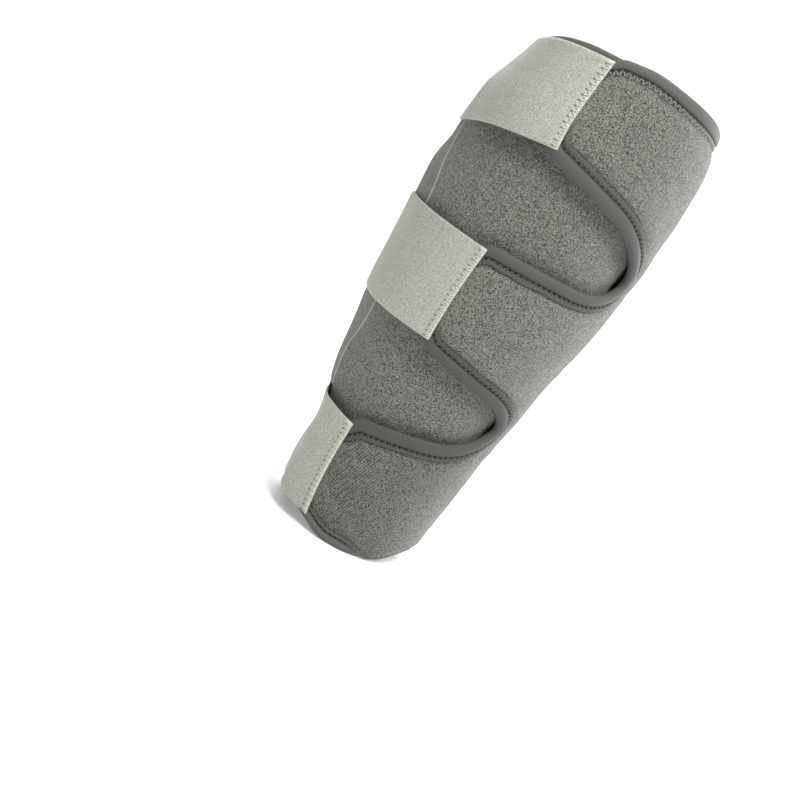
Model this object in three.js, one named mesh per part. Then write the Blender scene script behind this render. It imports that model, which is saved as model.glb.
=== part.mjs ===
import * as THREE from "three";

// Adjustable leg support: one padded sheet wrapped round the lower leg and
// closed by three fingers, each with a hook tab that grips the sheet's own face.
// Millimetres. +Z runs up the leg, +X points to the shin, -Y to the outer side.
// A turn is an angle round the leg in degrees: 0 at the calf, 90 on the outer
// side, 180 at the shin, 270 on the inner side, 360 at the calf again.

// Thicknesses and clearances.
const SHEET = 3.4;
const TAPE = 0.7;
const TAB = 1.6;
const GAP = 0.35;
const LIFT = 2.5;

// The edge tape folds over an edge and covers this much of each face.
const TAPE_REACH = 8.2;
const FOLD = GAP + TAPE;

// Where the leg's axis stands in the shared frame.
const AXIS_X = -6.11;
const AXIS_Y = 3.98;

// The form inside the wrap at each height: how far its middle lies forward of
// the axis, and the distances from that middle to the calf, shin and sides.
const FORM = [
  { height: 0, middle: 0.0, back: 34.6, front: 34.0, side: 30.5 },
  { height: 20, middle: 0.0, back: 36.0, front: 36.9, side: 32.0 },
  { height: 54, middle: 0.0, back: 37.5, front: 40.2, side: 34.0 },
  { height: 66, middle: 0.0, back: 39.9, front: 41.8, side: 35.5 },
  { height: 76, middle: 0.0, back: 42.6, front: 43.1, side: 37.2 },
  { height: 88, middle: 0.0, back: 44.8, front: 44.5, side: 39.5 },
  { height: 104, middle: 0.1, back: 46.7, front: 46.6, side: 41.7 },
  { height: 122, middle: 0.2, back: 49.0, front: 49.0, side: 44.0 },
  { height: 154, middle: 1.2, back: 51.7, front: 53.7, side: 48.0 },
  { height: 186, middle: 2.4, back: 54.9, front: 56.5, side: 51.0 },
  { height: 204, middle: 3.4, back: 56.5, front: 57.4, side: 52.0 },
  { height: 217, middle: 4.4, back: 55.5, front: 56.8, side: 52.3 },
  { height: 232, middle: 5.8, back: 55.4, front: 56.0, side: 52.0 },
  { height: 247, middle: 7.4, back: 55.0, front: 54.0, side: 51.0 },
  { height: 262, middle: 9.2, back: 51.5, front: 51.3, side: 49.5 },
  { height: 277, middle: 10.8, back: 47.5, front: 46.8, side: 47.5 },
  { height: 296, middle: 12.4, back: 43.0, front: 40.4, side: 45.0 },
];

// The sheet's upper and lower edges, followed round the leg.
const TOP_EDGE = [
  { turn: 40, height: 283.0 },
  { turn: 60, height: 285.4 },
  { turn: 80, height: 286.9 },
  { turn: 100, height: 289.0 },
  { turn: 118, height: 288.3 },
  { turn: 145, height: 287.0 },
  { turn: 175, height: 285.0 },
  { turn: 300, height: 284.0 },
  { turn: 335, height: 281.0 },
  { turn: 360, height: 279.8 },
  { turn: 375, height: 281.6 },
  { turn: 390, height: 283.8 },
  { turn: 405, height: 285.4 },
  { turn: 420, height: 286.4 },
  { turn: 450, height: 286.8 },
  { turn: 540, height: 282.0 },
];
const BOTTOM_EDGE = [
  { turn: 40, height: 10.5 },
  { turn: 56, height: 8.4 },
  { turn: 70, height: 5.2 },
  { turn: 80, height: 2.2 },
  { turn: 88, height: FOLD },
  { turn: 124, height: FOLD },
  { turn: 131, height: 2.2 },
  { turn: 140, height: 4.6 },
  { turn: 150, height: 8.4 },
  { turn: 162, height: 10.6 },
  { turn: 182, height: 10.0 },
  { turn: 202, height: 4.6 },
  { turn: 220, height: FOLD },
  { turn: 345, height: FOLD },
  { turn: 375, height: 7.0 },
  { turn: 425, height: 6.6 },
  { turn: 470, height: 4.5 },
  { turn: 505, height: 11.0 },
  { turn: 540, height: 13.0 },
];

// The two notches between the fingers. Each edge is a line that leaves the
// mouth at a height and slope, then rounds in to the tip from its own turn on.
const MOUTH = 80;
const UPPER_NOTCH = {
  tip: 155.0,
  tipHeight: 197.6,
  high: { height: 232.6, slope: -0.25, rounding: 119 },
  low: { height: 181.3, slope: 0.03, rounding: 128 },
};
const LOWER_NOTCH = {
  tip: 150.8,
  tipHeight: 97.8,
  high: { height: 120.9, slope: -0.19, rounding: 126 },
  low: { height: 71.0, slope: 0.18, rounding: 116 },
};

// Hook tabs: the turn of the seam that sews each to its finger and how far that
// seam leans, the turns where the finger underneath and the tab itself end, and
// the tab's edges at the seam with their rise per degree. The drop is how far a
// tab takes to come down off its finger, and the fall is how much its top edge
// sinks per degree round the calf.
const TABS = [
  {
    name: "tab_top", seam: 79.6, lean: -4.8, finger: 61, end: -16, drop: 44,
    low: 235.9, lowSlope: 0.15, high: 284.2, highSlope: 0.055, fall: 0,
  },
  {
    name: "tab_middle", seam: 81.8, lean: 0.8, finger: 61, end: -18, drop: 44,
    low: 125.2, lowSlope: -0.02, high: 179.0, highSlope: -0.046, fall: 0.08,
  },
  {
    name: "tab_bottom", seam: 67.4, lean: -1.5, finger: 42, end: -66, drop: 19,
    low: 7.6, lowSlope: -0.06, high: 64.7, highSlope: -0.12, fall: 0.26,
  },
];
const TAB_CORNER = 7;

// Past this turn, round the calf, a tab's edges run level or fall.
const TAB_LEVEL_TURN = 12;
const [TOP_TAB, MIDDLE_TAB, BOTTOM_TAB] = TABS;

// A finger narrows where it goes under its tab.
const TUCK = 5;
const TUCK_BEFORE = 3;
const TUCK_AFTER = 8;
const TAPE_BACK_FROM_FINGER = 7;

// The sheet's second turn lies under the first and ends here. The first turn
// comes down on to the leg between these turns.
const INNER_END = 528;
const DROP_FROM = 176;
const DROP_TO = 228;

// Facet sizes.
const FINGER_STEP = 6;
const ROUND_STEP = 10;
const NOSE_STEPS = 8;
const TIP_STEPS = 4;
const MIDDLE_ROWS = 5;
const EDGE_ROW = 8.7;
const TAB_ROWS = 4;

const FINISHES = {
  sheet: { color: 0x868886, roughness: 0.95 },
  tape: { color: 0x64686a, roughness: 0.85 },
  tab: { color: 0xb0b2ab, roughness: 0.8 },
};

const RIGHT_ANGLE = Math.PI / 2;

function smooth(from, to, value) {
  const part = Math.min(Math.max((value - from) / (to - from), 0), 1);
  return part * part * (3 - 2 * part);
}

function range(from, to, step) {
  const count = Math.max(1, Math.round(Math.abs(to - from) / step));
  return Array.from({ length: count }, (_, index) => from + ((to - from) * index) / count);
}

// Steps that close up towards a rounded end, without the first one.
function closing(from, to, count) {
  const steps = Array.from({ length: count }, (_, index) => Math.sin((RIGHT_ANGLE * (index + 1)) / count));
  return steps.map((step) => from + (to - from) * step);
}

// Smooth reading of a table that never overshoots its rows.
function read(table, key, column, value) {
  const last = table.length - 2;
  let row = 0;
  while (row < last && value > table[row + 1][key]) {
    row += 1;
  }
  const slope = (index) => {
    const low = table[index];
    const high = table[index + 1];
    return (high[column] - low[column]) / (high[key] - low[key]);
  };
  const tangent = (index) => {
    if (index === 0) {
      return slope(0);
    }
    if (index === table.length - 1) {
      return slope(index - 1);
    }
    const before = slope(index - 1);
    const after = slope(index);
    return before * after <= 0 ? 0 : (2 * before * after) / (before + after);
  };
  const start = table[row];
  const stop = table[row + 1];
  const span = stop[key] - start[key];
  const part = Math.min(Math.max((value - start[key]) / span, 0), 1);
  const square = part * part;
  const cube = square * part;
  return (
    (2 * cube - 3 * square + 1) * start[column] +
    (cube - 2 * square + part) * span * tangent(row) +
    (3 * square - 2 * cube) * stop[column] +
    (cube - square) * span * tangent(row + 1)
  );
}

// A point of the wrap: round by a turn, up by a height, out from the form.
function surface(turn, height, out) {
  const angle = THREE.MathUtils.degToRad(turn);
  const cosine = Math.cos(angle);
  const sine = Math.sin(angle);
  const depth = read(FORM, "height", cosine > 0 ? "back" : "front", height);
  const side = read(FORM, "height", "side", height);
  const middle = read(FORM, "height", "middle", height);
  const normal = new THREE.Vector2(-side * cosine, -depth * sine).normalize();
  return new THREE.Vector3(
    AXIS_X + middle - depth * cosine + out * normal.x,
    AXIS_Y - side * sine + out * normal.y,
    height,
  );
}

function millimetresPerDegree(turn, height, out) {
  const step = 0.5;
  return surface(turn - step, height, out).distanceTo(surface(turn + step, height, out));
}

// How far the sheet's inner face stands off the form.
function standOff(turn) {
  return (SHEET + LIFT) * (1 - smooth(DROP_FROM, DROP_TO, turn));
}

function tuck(tab, turn) {
  return TUCK * (1 - smooth(tab.seam - TUCK_AFTER, tab.seam + TUCK_BEFORE, turn));
}

function notchEdge(notch, side, turn) {
  const edge = notch[side];
  const line = edge.height + edge.slope * (turn - MOUTH);
  const part = Math.min(Math.max((turn - edge.rounding) / (notch.tip - edge.rounding), 0), 1);
  return notch.tipHeight + (line - notch.tipHeight) * Math.sqrt(1 - part * part);
}

const topEdge = (turn) => read(TOP_EDGE, "turn", "height", turn);
const bottomEdge = (turn) => read(BOTTOM_EDGE, "turn", "height", turn);

// The sheet is three strips that part at the notches to become the fingers.
const STRIPS = [
  {
    tab: BOTTOM_TAB,
    low: bottomEdge,
    high: (turn) => notchEdge(LOWER_NOTCH, "low", turn) - tuck(BOTTOM_TAB, turn),
    lowTip: Infinity,
    highTip: LOWER_NOTCH.tip,
  },
  {
    tab: MIDDLE_TAB,
    low: (turn) => notchEdge(LOWER_NOTCH, "high", turn) + tuck(MIDDLE_TAB, turn),
    high: (turn) => notchEdge(UPPER_NOTCH, "low", turn) - tuck(MIDDLE_TAB, turn),
    lowTip: LOWER_NOTCH.tip,
    highTip: UPPER_NOTCH.tip,
  },
  {
    tab: TOP_TAB,
    low: (turn) => notchEdge(UPPER_NOTCH, "high", turn) + tuck(TOP_TAB, turn),
    high: (turn) => topEdge(turn) - tuck(TOP_TAB, turn),
    lowTip: UPPER_NOTCH.tip,
    highTip: Infinity,
  },
];
const [LOW_STRIP, MIDDLE_STRIP, HIGH_STRIP] = STRIPS;

const NOSE_START = LOWER_NOTCH.low.rounding;
const SHARED_TURNS = [
  NOSE_START,
  ...closing(NOSE_START, LOWER_NOTCH.tip, NOSE_STEPS),
  ...closing(LOWER_NOTCH.tip, UPPER_NOTCH.tip, TIP_STEPS),
  ...range(UPPER_NOTCH.tip, INNER_END, ROUND_STEP).slice(1),
  INNER_END,
];

function stripTurns(strip) {
  return [...range(strip.tab.finger, NOSE_START, FINGER_STEP), ...SHARED_TURNS];
}

// Collects facets into one closed solid that faces outward.
class Solid {
  constructor() {
    this.corners = [];
  }

  facet(first, ...others) {
    for (let index = 1; index < others.length; index += 1) {
      this.corners.push(first, others[index - 1], others[index]);
    }
  }

  // A hollow-free bar: at each station one skin runs out and the other back.
  bar(stations) {
    const rings = stations.map(({ one, other }) => [...one, ...other.slice().reverse()]);
    rings.slice(1).forEach((next, station) => {
      const here = rings[station];
      here.forEach((point, index) => {
        const after = (index + 1) % here.length;
        this.facet(point, next[index], next[after], here[after]);
      });
    });
  }

  // Closes a bar's end between two chains that face each other.
  cap(one, other, flip) {
    one.slice(1).forEach((next, index) => {
      const corners = [...new Set([one[index], next, other[index + 1], other[index]])];
      this.facet(...(flip ? corners.reverse() : corners));
    });
  }

  triangles() {
    const count = this.corners.length / 3;
    return Array.from({ length: count }, (_, index) => this.corners.slice(3 * index, 3 * index + 3));
  }

  mesh(name, finish) {
    const triangles = this.triangles();
    const sixVolumes = triangles.map(([first, second, third]) => first.dot(second.clone().cross(third)));
    const outward = sixVolumes.reduce((total, value) => total + value, 0) > 0;
    const ordered = outward ? triangles : triangles.map((triangle) => triangle.reverse());
    const positions = ordered.flat().flatMap((point) => point.toArray());
    const geometry = new THREE.BufferGeometry();
    geometry.setAttribute("position", new THREE.Float32BufferAttribute(positions, 3));
    geometry.computeVertexNormals();
    const mesh = new THREE.Mesh(geometry, new THREE.MeshStandardMaterial({ ...finish, metalness: 0 }));
    mesh.name = name;
    return mesh;
  }
}

// Row heights across a strip: one row keeps close to each edge.
function stripRows(strip, turn) {
  const low = strip.low(turn);
  const high = strip.high(turn);
  const from = low + EDGE_ROW;
  const to = high - EDGE_ROW;
  const rise = (to - from) / MIDDLE_ROWS;
  const between = Array.from({ length: MIDDLE_ROWS + 1 }, (_, row) => from + rise * row);
  return [low, ...between, high];
}

function bodyWrap() {
  const solid = new Solid();
  const inner = (turn, height) => surface(turn, height, standOff(turn));
  const outer = (turn, height) => surface(turn, height, standOff(turn) + SHEET);
  const wall = (turn, height, nextTurn, nextHeight) => {
    solid.facet(
      inner(turn, height),
      inner(nextTurn, nextHeight),
      outer(nextTurn, nextHeight),
      outer(turn, height),
    );
  };
  STRIPS.forEach((strip) => {
    const turns = stripTurns(strip);
    turns.slice(1).forEach((next, index) => {
      const turn = turns[index];
      const rows = stripRows(strip, turn);
      const nextRows = stripRows(strip, next);
      rows.slice(1).forEach((above, row) => {
        const height = rows[row];
        solid.facet(
          outer(turn, height),
          outer(next, nextRows[row]),
          outer(next, nextRows[row + 1]),
          outer(turn, above),
        );
        solid.facet(
          inner(turn, height),
          inner(turn, above),
          inner(next, nextRows[row + 1]),
          inner(next, nextRows[row]),
        );
      });
      const last = rows.length - 1;
      if (next <= strip.lowTip) {
        wall(turn, rows[0], next, nextRows[0]);
      }
      if (next <= strip.highTip) {
        wall(next, nextRows[last], turn, rows[last]);
      }
    });
    const start = turns[0];
    const startRows = stripRows(strip, start);
    const endRows = stripRows(strip, INNER_END);
    startRows.slice(1).forEach((above, row) => {
      wall(start, above, start, startRows[row]);
      wall(INNER_END, endRows[row], INNER_END, endRows[row + 1]);
    });
  });
  return solid.mesh("body_wrap", FINISHES.sheet);
}

// The edge tape's section, as its outer and inner skins: reach in from the
// sheet's edge, and level off the sheet's inner face.
const TAPE_OUTER = [
  { reach: TAPE_REACH, level: SHEET + FOLD },
  { reach: -GAP, level: SHEET + FOLD },
  { reach: -FOLD, level: SHEET + GAP },
  { reach: -FOLD, level: -GAP },
  { reach: -GAP, level: -FOLD },
  { reach: TAPE_REACH, level: -FOLD },
];
const TAPE_INNER = [
  { reach: TAPE_REACH, level: SHEET + GAP },
  { reach: -GAP, level: SHEET + GAP },
  { reach: -GAP, level: -GAP },
  { reach: TAPE_REACH, level: -GAP },
];

// Tape along a path of turns and heights that keeps the sheet on its right.
function edgeTape(name, path) {
  const stations = path.map((spot, index) => {
    const before = path[Math.max(index - 1, 0)];
    const after = path[Math.min(index + 1, path.length - 1)];
    const scale = millimetresPerDegree(spot.turn, spot.height, standOff(spot.turn) + SHEET / 2);
    const heading = new THREE.Vector2(
      (after.turn - before.turn) * scale,
      after.height - before.height,
    ).normalize();
    const place = ({ reach, level }) => {
      const turn = spot.turn + (reach * heading.y) / scale;
      const height = spot.height - reach * heading.x;
      return surface(turn, height, standOff(turn) + level);
    };
    return { one: TAPE_OUTER.map(place), other: TAPE_INNER.map(place) };
  });
  const solid = new Solid();
  solid.bar(stations);
  [stations[0], stations[stations.length - 1]].forEach(({ one, other }, end) => {
    // Each inner corner faces both ends of the bevel outside it.
    const [flap, corner, backCorner, backFlap] = other;
    solid.cap(one, [flap, corner, corner, backCorner, backCorner, backFlap], end === 1);
  });
  return solid.mesh(name, FINISHES.tape);
}

function tapedTurns(strip) {
  return stripTurns(strip).filter((turn) => turn >= strip.tab.finger + TAPE_BACK_FROM_FINGER);
}

const follow = (turns, edge) => turns.map((turn) => ({ turn, height: edge(turn) }));

function notchPath(notch, below, above) {
  const lowTurns = tapedTurns(below).filter((turn) => turn <= notch.tip);
  const highTurns = tapedTurns(above).filter((turn) => turn < notch.tip);
  return [...follow(lowTurns, below.high), ...follow(highTurns.reverse(), above.low)];
}

// The plain end of the sheet, from its upper edge tape down to its lower one.
function innerEdgePath() {
  const heights = STRIPS.flatMap((strip) => stripRows(strip, INNER_END).slice(1));
  return heights.slice(0, -1).reverse().map((height) => ({ turn: INNER_END, height }));
}

// How far a tab's underside stands off the form: over the finger, then down
// on to the sheet's second turn.
function tabLevel(tab, turn, height) {
  const onSheet = SHEET + FOLD + GAP;
  const dropTurns = tab.drop / millimetresPerDegree(tab.finger, height, SHEET);
  return onSheet + (SHEET + LIFT) * smooth(tab.finger - dropTurns, tab.finger, turn);
}

function hookTab(tab) {
  const middle = (tab.low + tab.high) / 2;
  const cornerTurns = TAB_CORNER / millimetresPerDegree(tab.end, middle, SHEET);
  const roundFrom = tab.end + cornerTurns;
  const turns = [
    ...range(tab.seam, roundFrom, FINGER_STEP),
    roundFrom,
    ...closing(roundFrom, tab.end, TIP_STEPS),
  ];
  const stations = turns.map((turn) => {
    const part = Math.min(Math.max((roundFrom - turn) / cornerTurns, 0), 1);
    const inset = TAB_CORNER * (1 - Math.sqrt(1 - part * part));
    const run = Math.max(turn, TAB_LEVEL_TURN) - tab.seam;
    const low = tab.low + tab.lowSlope * run + inset;
    const fallen = tab.fall * Math.max(TAB_LEVEL_TURN - turn, 0);
    const high = tab.high + tab.highSlope * run - fallen - inset;
    const face = (out) => Array.from({ length: TAB_ROWS + 1 }, (_, row) => {
      const share = row / TAB_ROWS;
      const height = low + (high - low) * share;
      const leaning = turn + tab.lean * (share - 0.5);
      return surface(leaning, height, tabLevel(tab, leaning, height) + out);
    });
    return { one: face(0), other: face(TAB) };
  });
  const solid = new Solid();
  solid.bar(stations);
  const [first, last] = [stations[0], stations[stations.length - 1]];
  solid.cap(first.one, first.other, false);
  solid.cap(last.one, last.other, true);
  return solid.mesh(tab.name, FINISHES.tab);
}

const part = new THREE.Group();
part.name = "adjustable_leg_support";
part.add(bodyWrap());
part.add(edgeTape("binding_top", follow(tapedTurns(HIGH_STRIP), HIGH_STRIP.high)));
part.add(edgeTape("binding_bottom", follow(tapedTurns(LOW_STRIP).reverse(), LOW_STRIP.low)));
part.add(edgeTape("binding_upper_notch", notchPath(UPPER_NOTCH, MIDDLE_STRIP, HIGH_STRIP)));
part.add(edgeTape("binding_lower_notch", notchPath(LOWER_NOTCH, LOW_STRIP, MIDDLE_STRIP)));
part.add(edgeTape("binding_inner_edge", innerEdgePath()));
TABS.forEach((tab) => part.add(hookTab(tab)));

export default part;
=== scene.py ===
# %% [markdown]
# An adjustable leg support is one padded sheet with a looped face. It goes round the
# lower leg a little more than once and closes on itself with three hook tabs.
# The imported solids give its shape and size. This lesson lays cloth over each of them,
# in the same frame and in metres, and leaves the solids themselves untouched.

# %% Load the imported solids
import math

import bmesh
import bpy
import numpy as np
from mathutils import Matrix, Vector


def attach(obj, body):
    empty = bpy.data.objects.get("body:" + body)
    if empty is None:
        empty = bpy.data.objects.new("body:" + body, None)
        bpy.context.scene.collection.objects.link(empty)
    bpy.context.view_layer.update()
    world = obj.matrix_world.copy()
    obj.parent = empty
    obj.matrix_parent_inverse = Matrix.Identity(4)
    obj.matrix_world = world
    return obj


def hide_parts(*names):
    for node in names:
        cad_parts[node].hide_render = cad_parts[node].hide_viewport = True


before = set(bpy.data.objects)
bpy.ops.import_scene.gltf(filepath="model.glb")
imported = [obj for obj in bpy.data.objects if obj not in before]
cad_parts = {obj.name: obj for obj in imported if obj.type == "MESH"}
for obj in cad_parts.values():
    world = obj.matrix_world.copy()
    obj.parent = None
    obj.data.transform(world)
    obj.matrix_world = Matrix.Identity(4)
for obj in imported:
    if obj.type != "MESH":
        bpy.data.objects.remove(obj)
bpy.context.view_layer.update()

print("solids:", sorted(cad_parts))

# %% [markdown]
# The camera comes first, because every later look is judged through it. It stands off the
# outer side of the leg, a little above the middle and tilted down, and it is rolled so that
# the upright wrap leans across the picture. The focal length is kept in picture widths, so
# it doesn't depend on the render's size.

# %% Camera
CAMERA_PLACE = Vector((-0.01111, -0.61602, 0.2180))
CAMERA_DIP = math.radians(12.6)
CAMERA_ROLL = math.radians(31.3)
FOCAL_WIDTHS = 1146 / 800
SENSOR = 36.0


def make_camera():
    ahead = Vector((0, math.cos(CAMERA_DIP), -math.sin(CAMERA_DIP)))
    above = Vector((0, math.sin(CAMERA_DIP), math.cos(CAMERA_DIP)))
    beside = Vector((1, 0, 0))
    right = beside * math.cos(CAMERA_ROLL) + above * math.sin(CAMERA_ROLL)
    up = above * math.cos(CAMERA_ROLL) - beside * math.sin(CAMERA_ROLL)
    data = bpy.data.cameras.new("camera")
    data.sensor_width = SENSOR
    data.lens = SENSOR * FOCAL_WIDTHS
    data.clip_start = 0.01
    data.clip_end = 50
    data.dof.use_dof = False
    camera = bpy.data.objects.new("camera", data)
    turned = Matrix((right, up, -ahead)).transposed().to_4x4()
    camera.matrix_world = Matrix.Translation(CAMERA_PLACE) @ turned
    bpy.context.collection.objects.link(camera)
    bpy.context.scene.camera = camera
    return camera


camera = make_camera()
print("camera lens", round(camera.data.lens, 2), "mm")

# %% [markdown]
# A wrapped sheet is easiest to describe unrolled: how far round the leg a point is (its
# turn, in degrees from the calf), how high it is, and how far it stands out from the leg.
# The tables repeat the solids' own, in millimetres. A monotone curve through the rows never
# overshoots them, so a bulge stays where the table puts it.

# %% The leg's form and the sheet's edges
MM = 0.001
SHEET = 3.4
LIFT = 2.5
AXIS_X, AXIS_Y = -6.11, 3.98
FORM_HEIGHT = [0, 20, 54, 66, 76, 88, 104, 122, 154, 186, 204, 217, 232, 247, 262, 277, 296]
FORM_MIDDLE = [0, 0, 0, 0, 0, 0, 0.1, 0.2, 1.2, 2.4, 3.4, 4.4, 5.8, 7.4, 9.2, 10.8, 12.4]
FORM_BACK = [
    34.6, 36, 37.5, 39.9, 42.6, 44.8, 46.7, 49, 51.7, 54.9, 56.5, 55.5, 55.4, 55, 51.5, 47.5, 43,
]
FORM_FRONT = [
    34, 36.9, 40.2, 41.8, 43.1, 44.5, 46.6, 49, 53.7, 56.5, 57.4, 56.8, 56, 54, 51.3, 46.8, 40.4,
]
FORM_SIDE = [
    30.5, 32, 34, 35.5, 37.2, 39.5, 41.7, 44, 48, 51, 52, 52.3, 52, 51, 49.5, 47.5, 45,
]
RIM = 1.05
TOP_EDGE = [
    (40, 283), (60, 285.4), (80, 286.9), (100, 289), (118, 288.3), (145, 287),
    (175, 285), (300, 284), (335, 281), (360, 279.8), (375, 281.6), (390, 283.8), (405, 285.4),
    (420, 286.4), (450, 286.8), (540, 282),
]
BOTTOM_EDGE = [
    (40, 10.5), (56, 8.4), (70, 5.2), (80, 2.2), (88, RIM), (124, RIM), (131, 2.2),
    (140, 4.6), (150, 8.4), (162, 10.6), (182, 10), (202, 4.6), (220, RIM), (345, RIM),
    (375, 7), (425, 6.6), (470, 4.5), (505, 11), (540, 13),
]
print("form given at", len(FORM_HEIGHT), "heights")


# %% Smooth curves through the tables
def course(keys, values):
    """A smooth curve through a table's rows that never overshoots them."""
    keys = np.array(keys, float)
    values = np.array(values, float)
    slopes = np.diff(values) / np.diff(keys)
    before, after = slopes[:-1], slopes[1:]
    product = before * after
    total = np.where(product > 0, before + after, 1)
    inside = np.where(product > 0, 2 * product / total, 0)
    tangents = np.concatenate([slopes[:1], inside, slopes[-1:]])

    def at(place):
        place = np.asarray(place, float)
        row = np.clip(np.searchsorted(keys, place) - 1, 0, len(keys) - 2)
        span = keys[row + 1] - keys[row]
        part = np.clip((place - keys[row]) / span, 0, 1)
        square, cube = part**2, part**3
        return (
            (2 * cube - 3 * square + 1) * values[row]
            + (cube - 2 * square + part) * span * tangents[row]
            + (3 * square - 2 * cube) * values[row + 1]
            + (cube - square) * span * tangents[row + 1]
        )

    return at


form_middle = course(FORM_HEIGHT, FORM_MIDDLE)
form_back = course(FORM_HEIGHT, FORM_BACK)
form_front = course(FORM_HEIGHT, FORM_FRONT)
form_side = course(FORM_HEIGHT, FORM_SIDE)
top_edge = course(*zip(*TOP_EDGE))
bottom_edge = course(*zip(*BOTTOM_EDGE))
print("shin edge from", bottom_edge(180).round(1), "to", top_edge(180).round(1), "mm up")


# %% From the unrolled map to the wrap
def surface(turn, height, out):
    """Points of the wrap in metres: round by a turn, up by a height, out from the form."""
    turn, height, out = np.broadcast_arrays(
        np.asarray(turn, float), np.asarray(height, float), np.asarray(out, float)
    )
    angle = np.radians(turn)
    cosine, sine = np.cos(angle), np.sin(angle)
    depth = np.where(cosine > 0, form_back(height), form_front(height))
    side = form_side(height)
    length = np.hypot(side * cosine, depth * sine)
    x = AXIS_X + form_middle(height) - depth * cosine - out * side * cosine / length
    y = AXIS_Y - side * sine - out * depth * sine / length
    return np.stack([x, y, height], axis=-1) * MM


def mm_per_degree(turn, height, out=SHEET):
    turn = np.asarray(turn, float)
    step = surface(turn + 0.5, height, out) - surface(turn - 0.5, height, out)
    return np.linalg.norm(step, axis=-1) / MM


def unit(vectors):
    return vectors / np.linalg.norm(vectors, axis=-1, keepdims=True)


def outward_at(turn, height):
    return unit(surface(turn, height, 1.0) - surface(turn, height, 0.0))


print("calf, mm round per degree:", round(float(mm_per_degree(90, 200)), 3))

# %% [markdown]
# The fingers and their notches follow the same unrolled map. Each notch is two straight
# edges that round in to one tip. The first turn stands off the leg by the thickness of the
# second turn beneath it, and comes down on to the leg over the shin. Real cloth is never
# quite true, so a slow ripple of a few tenths of a millimetre is shared by the sheet, its
# tape and its tabs: they then move together and stay in touch.

# %% Notches, tabs and the lie of the sheet
MOUTH = 80
UPPER_NOTCH = dict(tip=155.0, height=197.6, high=(232.6, -0.25, 119), low=(181.3, 0.03, 128))
LOWER_NOTCH = dict(tip=150.8, height=97.8, high=(120.9, -0.19, 126), low=(71.0, 0.18, 116))
TABS = {
    "tab_top": dict(
        seam=79.6, bow=1.0, lean=-4.8, finger=61, end=-16, drop=44,
        low=235.9, low_slope=0.15, high=284.2, high_slope=0.055, fall=0,
    ),
    "tab_middle": dict(
        seam=81.8, bow=0.8, lean=0.8, finger=61, end=-18, drop=44,
        low=125.2, low_slope=-0.02, high=179.0, high_slope=-0.046, fall=0.08,
    ),
    "tab_bottom": dict(
        seam=67.4, bow=2.4, lean=-1.5, finger=42, end=-66, drop=19,
        low=7.6, low_slope=-0.06, high=64.7, high_slope=-0.12, fall=0.26,
    ),
}
TUCK, TUCK_BEFORE, TUCK_AFTER = 5, 3, 8
INNER_END = 528
DROP_FROM, DROP_TO = 176, 228
RIPPLES = 9
RIPPLE_DEPTH = 0.10
RIPPLE_TURN = 0.8
RIPPLE_LENGTHS = (38, 120)
ripple_source = np.random.default_rng(11)
ripple_length = ripple_source.uniform(*RIPPLE_LENGTHS, RIPPLES)
ripple_heading = ripple_source.uniform(0, 2 * math.pi, RIPPLES)
ripple_start = ripple_source.uniform(0, 2 * math.pi, RIPPLES)
print("ripples", ripple_length.round().astype(int), "mm long")


# %% The lie of the sheet
def smooth(start, stop, value):
    part = np.clip((np.asarray(value, float) - start) / (stop - start), 0, 1)
    return part * part * (3 - 2 * part)


def stand_off(turn):
    return (SHEET + LIFT) * (1 - smooth(DROP_FROM, DROP_TO, turn))


def tuck(tab, turn):
    return TUCK * (1 - smooth(tab["seam"] - TUCK_AFTER, tab["seam"] + TUCK_BEFORE, turn))


def notch_edge(notch, side, turn):
    height, slope, rounding = notch[side]
    line = height + slope * (np.asarray(turn, float) - MOUTH)
    part = np.clip((turn - rounding) / (notch["tip"] - rounding), 0, 1)
    return notch["height"] + (line - notch["height"]) * np.sqrt(1 - part**2)


def ripple(turn, height):
    """How far the cloth wanders in or out, in millimetres."""
    along = np.asarray(turn, float)[..., None] * RIPPLE_TURN
    up = np.asarray(height, float)[..., None]
    phase = (along * np.cos(ripple_heading) + up * np.sin(ripple_heading)) / ripple_length
    waves = np.sin(2 * math.pi * phase + ripple_start)
    return RIPPLE_DEPTH * waves.sum(axis=-1)


sample = ripple(np.linspace(60, 520, 200)[:, None], np.linspace(0, 290, 100)[None, :])
print("ripple from", sample.min().round(2), "to", sample.max().round(2), "mm")

# %% Three strips between the edges and the notches
STRIPS = [
    dict(
        tab=TABS["tab_bottom"], low=bottom_edge, low_tip=math.inf, high_tip=LOWER_NOTCH["tip"],
        high=lambda turn: notch_edge(LOWER_NOTCH, "low", turn) - tuck(TABS["tab_bottom"], turn),
    ),
    dict(
        tab=TABS["tab_middle"], low_tip=LOWER_NOTCH["tip"], high_tip=UPPER_NOTCH["tip"],
        low=lambda turn: notch_edge(LOWER_NOTCH, "high", turn) + tuck(TABS["tab_middle"], turn),
        high=lambda turn: notch_edge(UPPER_NOTCH, "low", turn) - tuck(TABS["tab_middle"], turn),
    ),
    dict(
        tab=TABS["tab_top"], low_tip=UPPER_NOTCH["tip"], high_tip=math.inf,
        low=lambda turn: notch_edge(UPPER_NOTCH, "high", turn) + tuck(TABS["tab_top"], turn),
        high=lambda turn: top_edge(turn) - tuck(TABS["tab_top"], turn),
    ),
]
for strip in STRIPS:
    width = strip["high"](MOUTH) - strip["low"](MOUTH)
    print("finger", round(float(width), 1), "mm wide at its mouth")

# %% [markdown]
# All pieces are plain meshes with their place in their points, so one helper makes them.
# It also writes an unrolled map (a UV map in metres) that woven patterns can follow, and
# a mask is a number kept on each point for a material to read. Most pieces are grids of
# points, so one more helper lays the faces between them.

# %% Making a mesh piece
def points_of_corners(mesh):
    """The number of the point at each corner of each face."""
    numbers = np.zeros(len(mesh.loops), int)
    mesh.loops.foreach_get("vertex_index", numbers)
    return numbers


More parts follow.
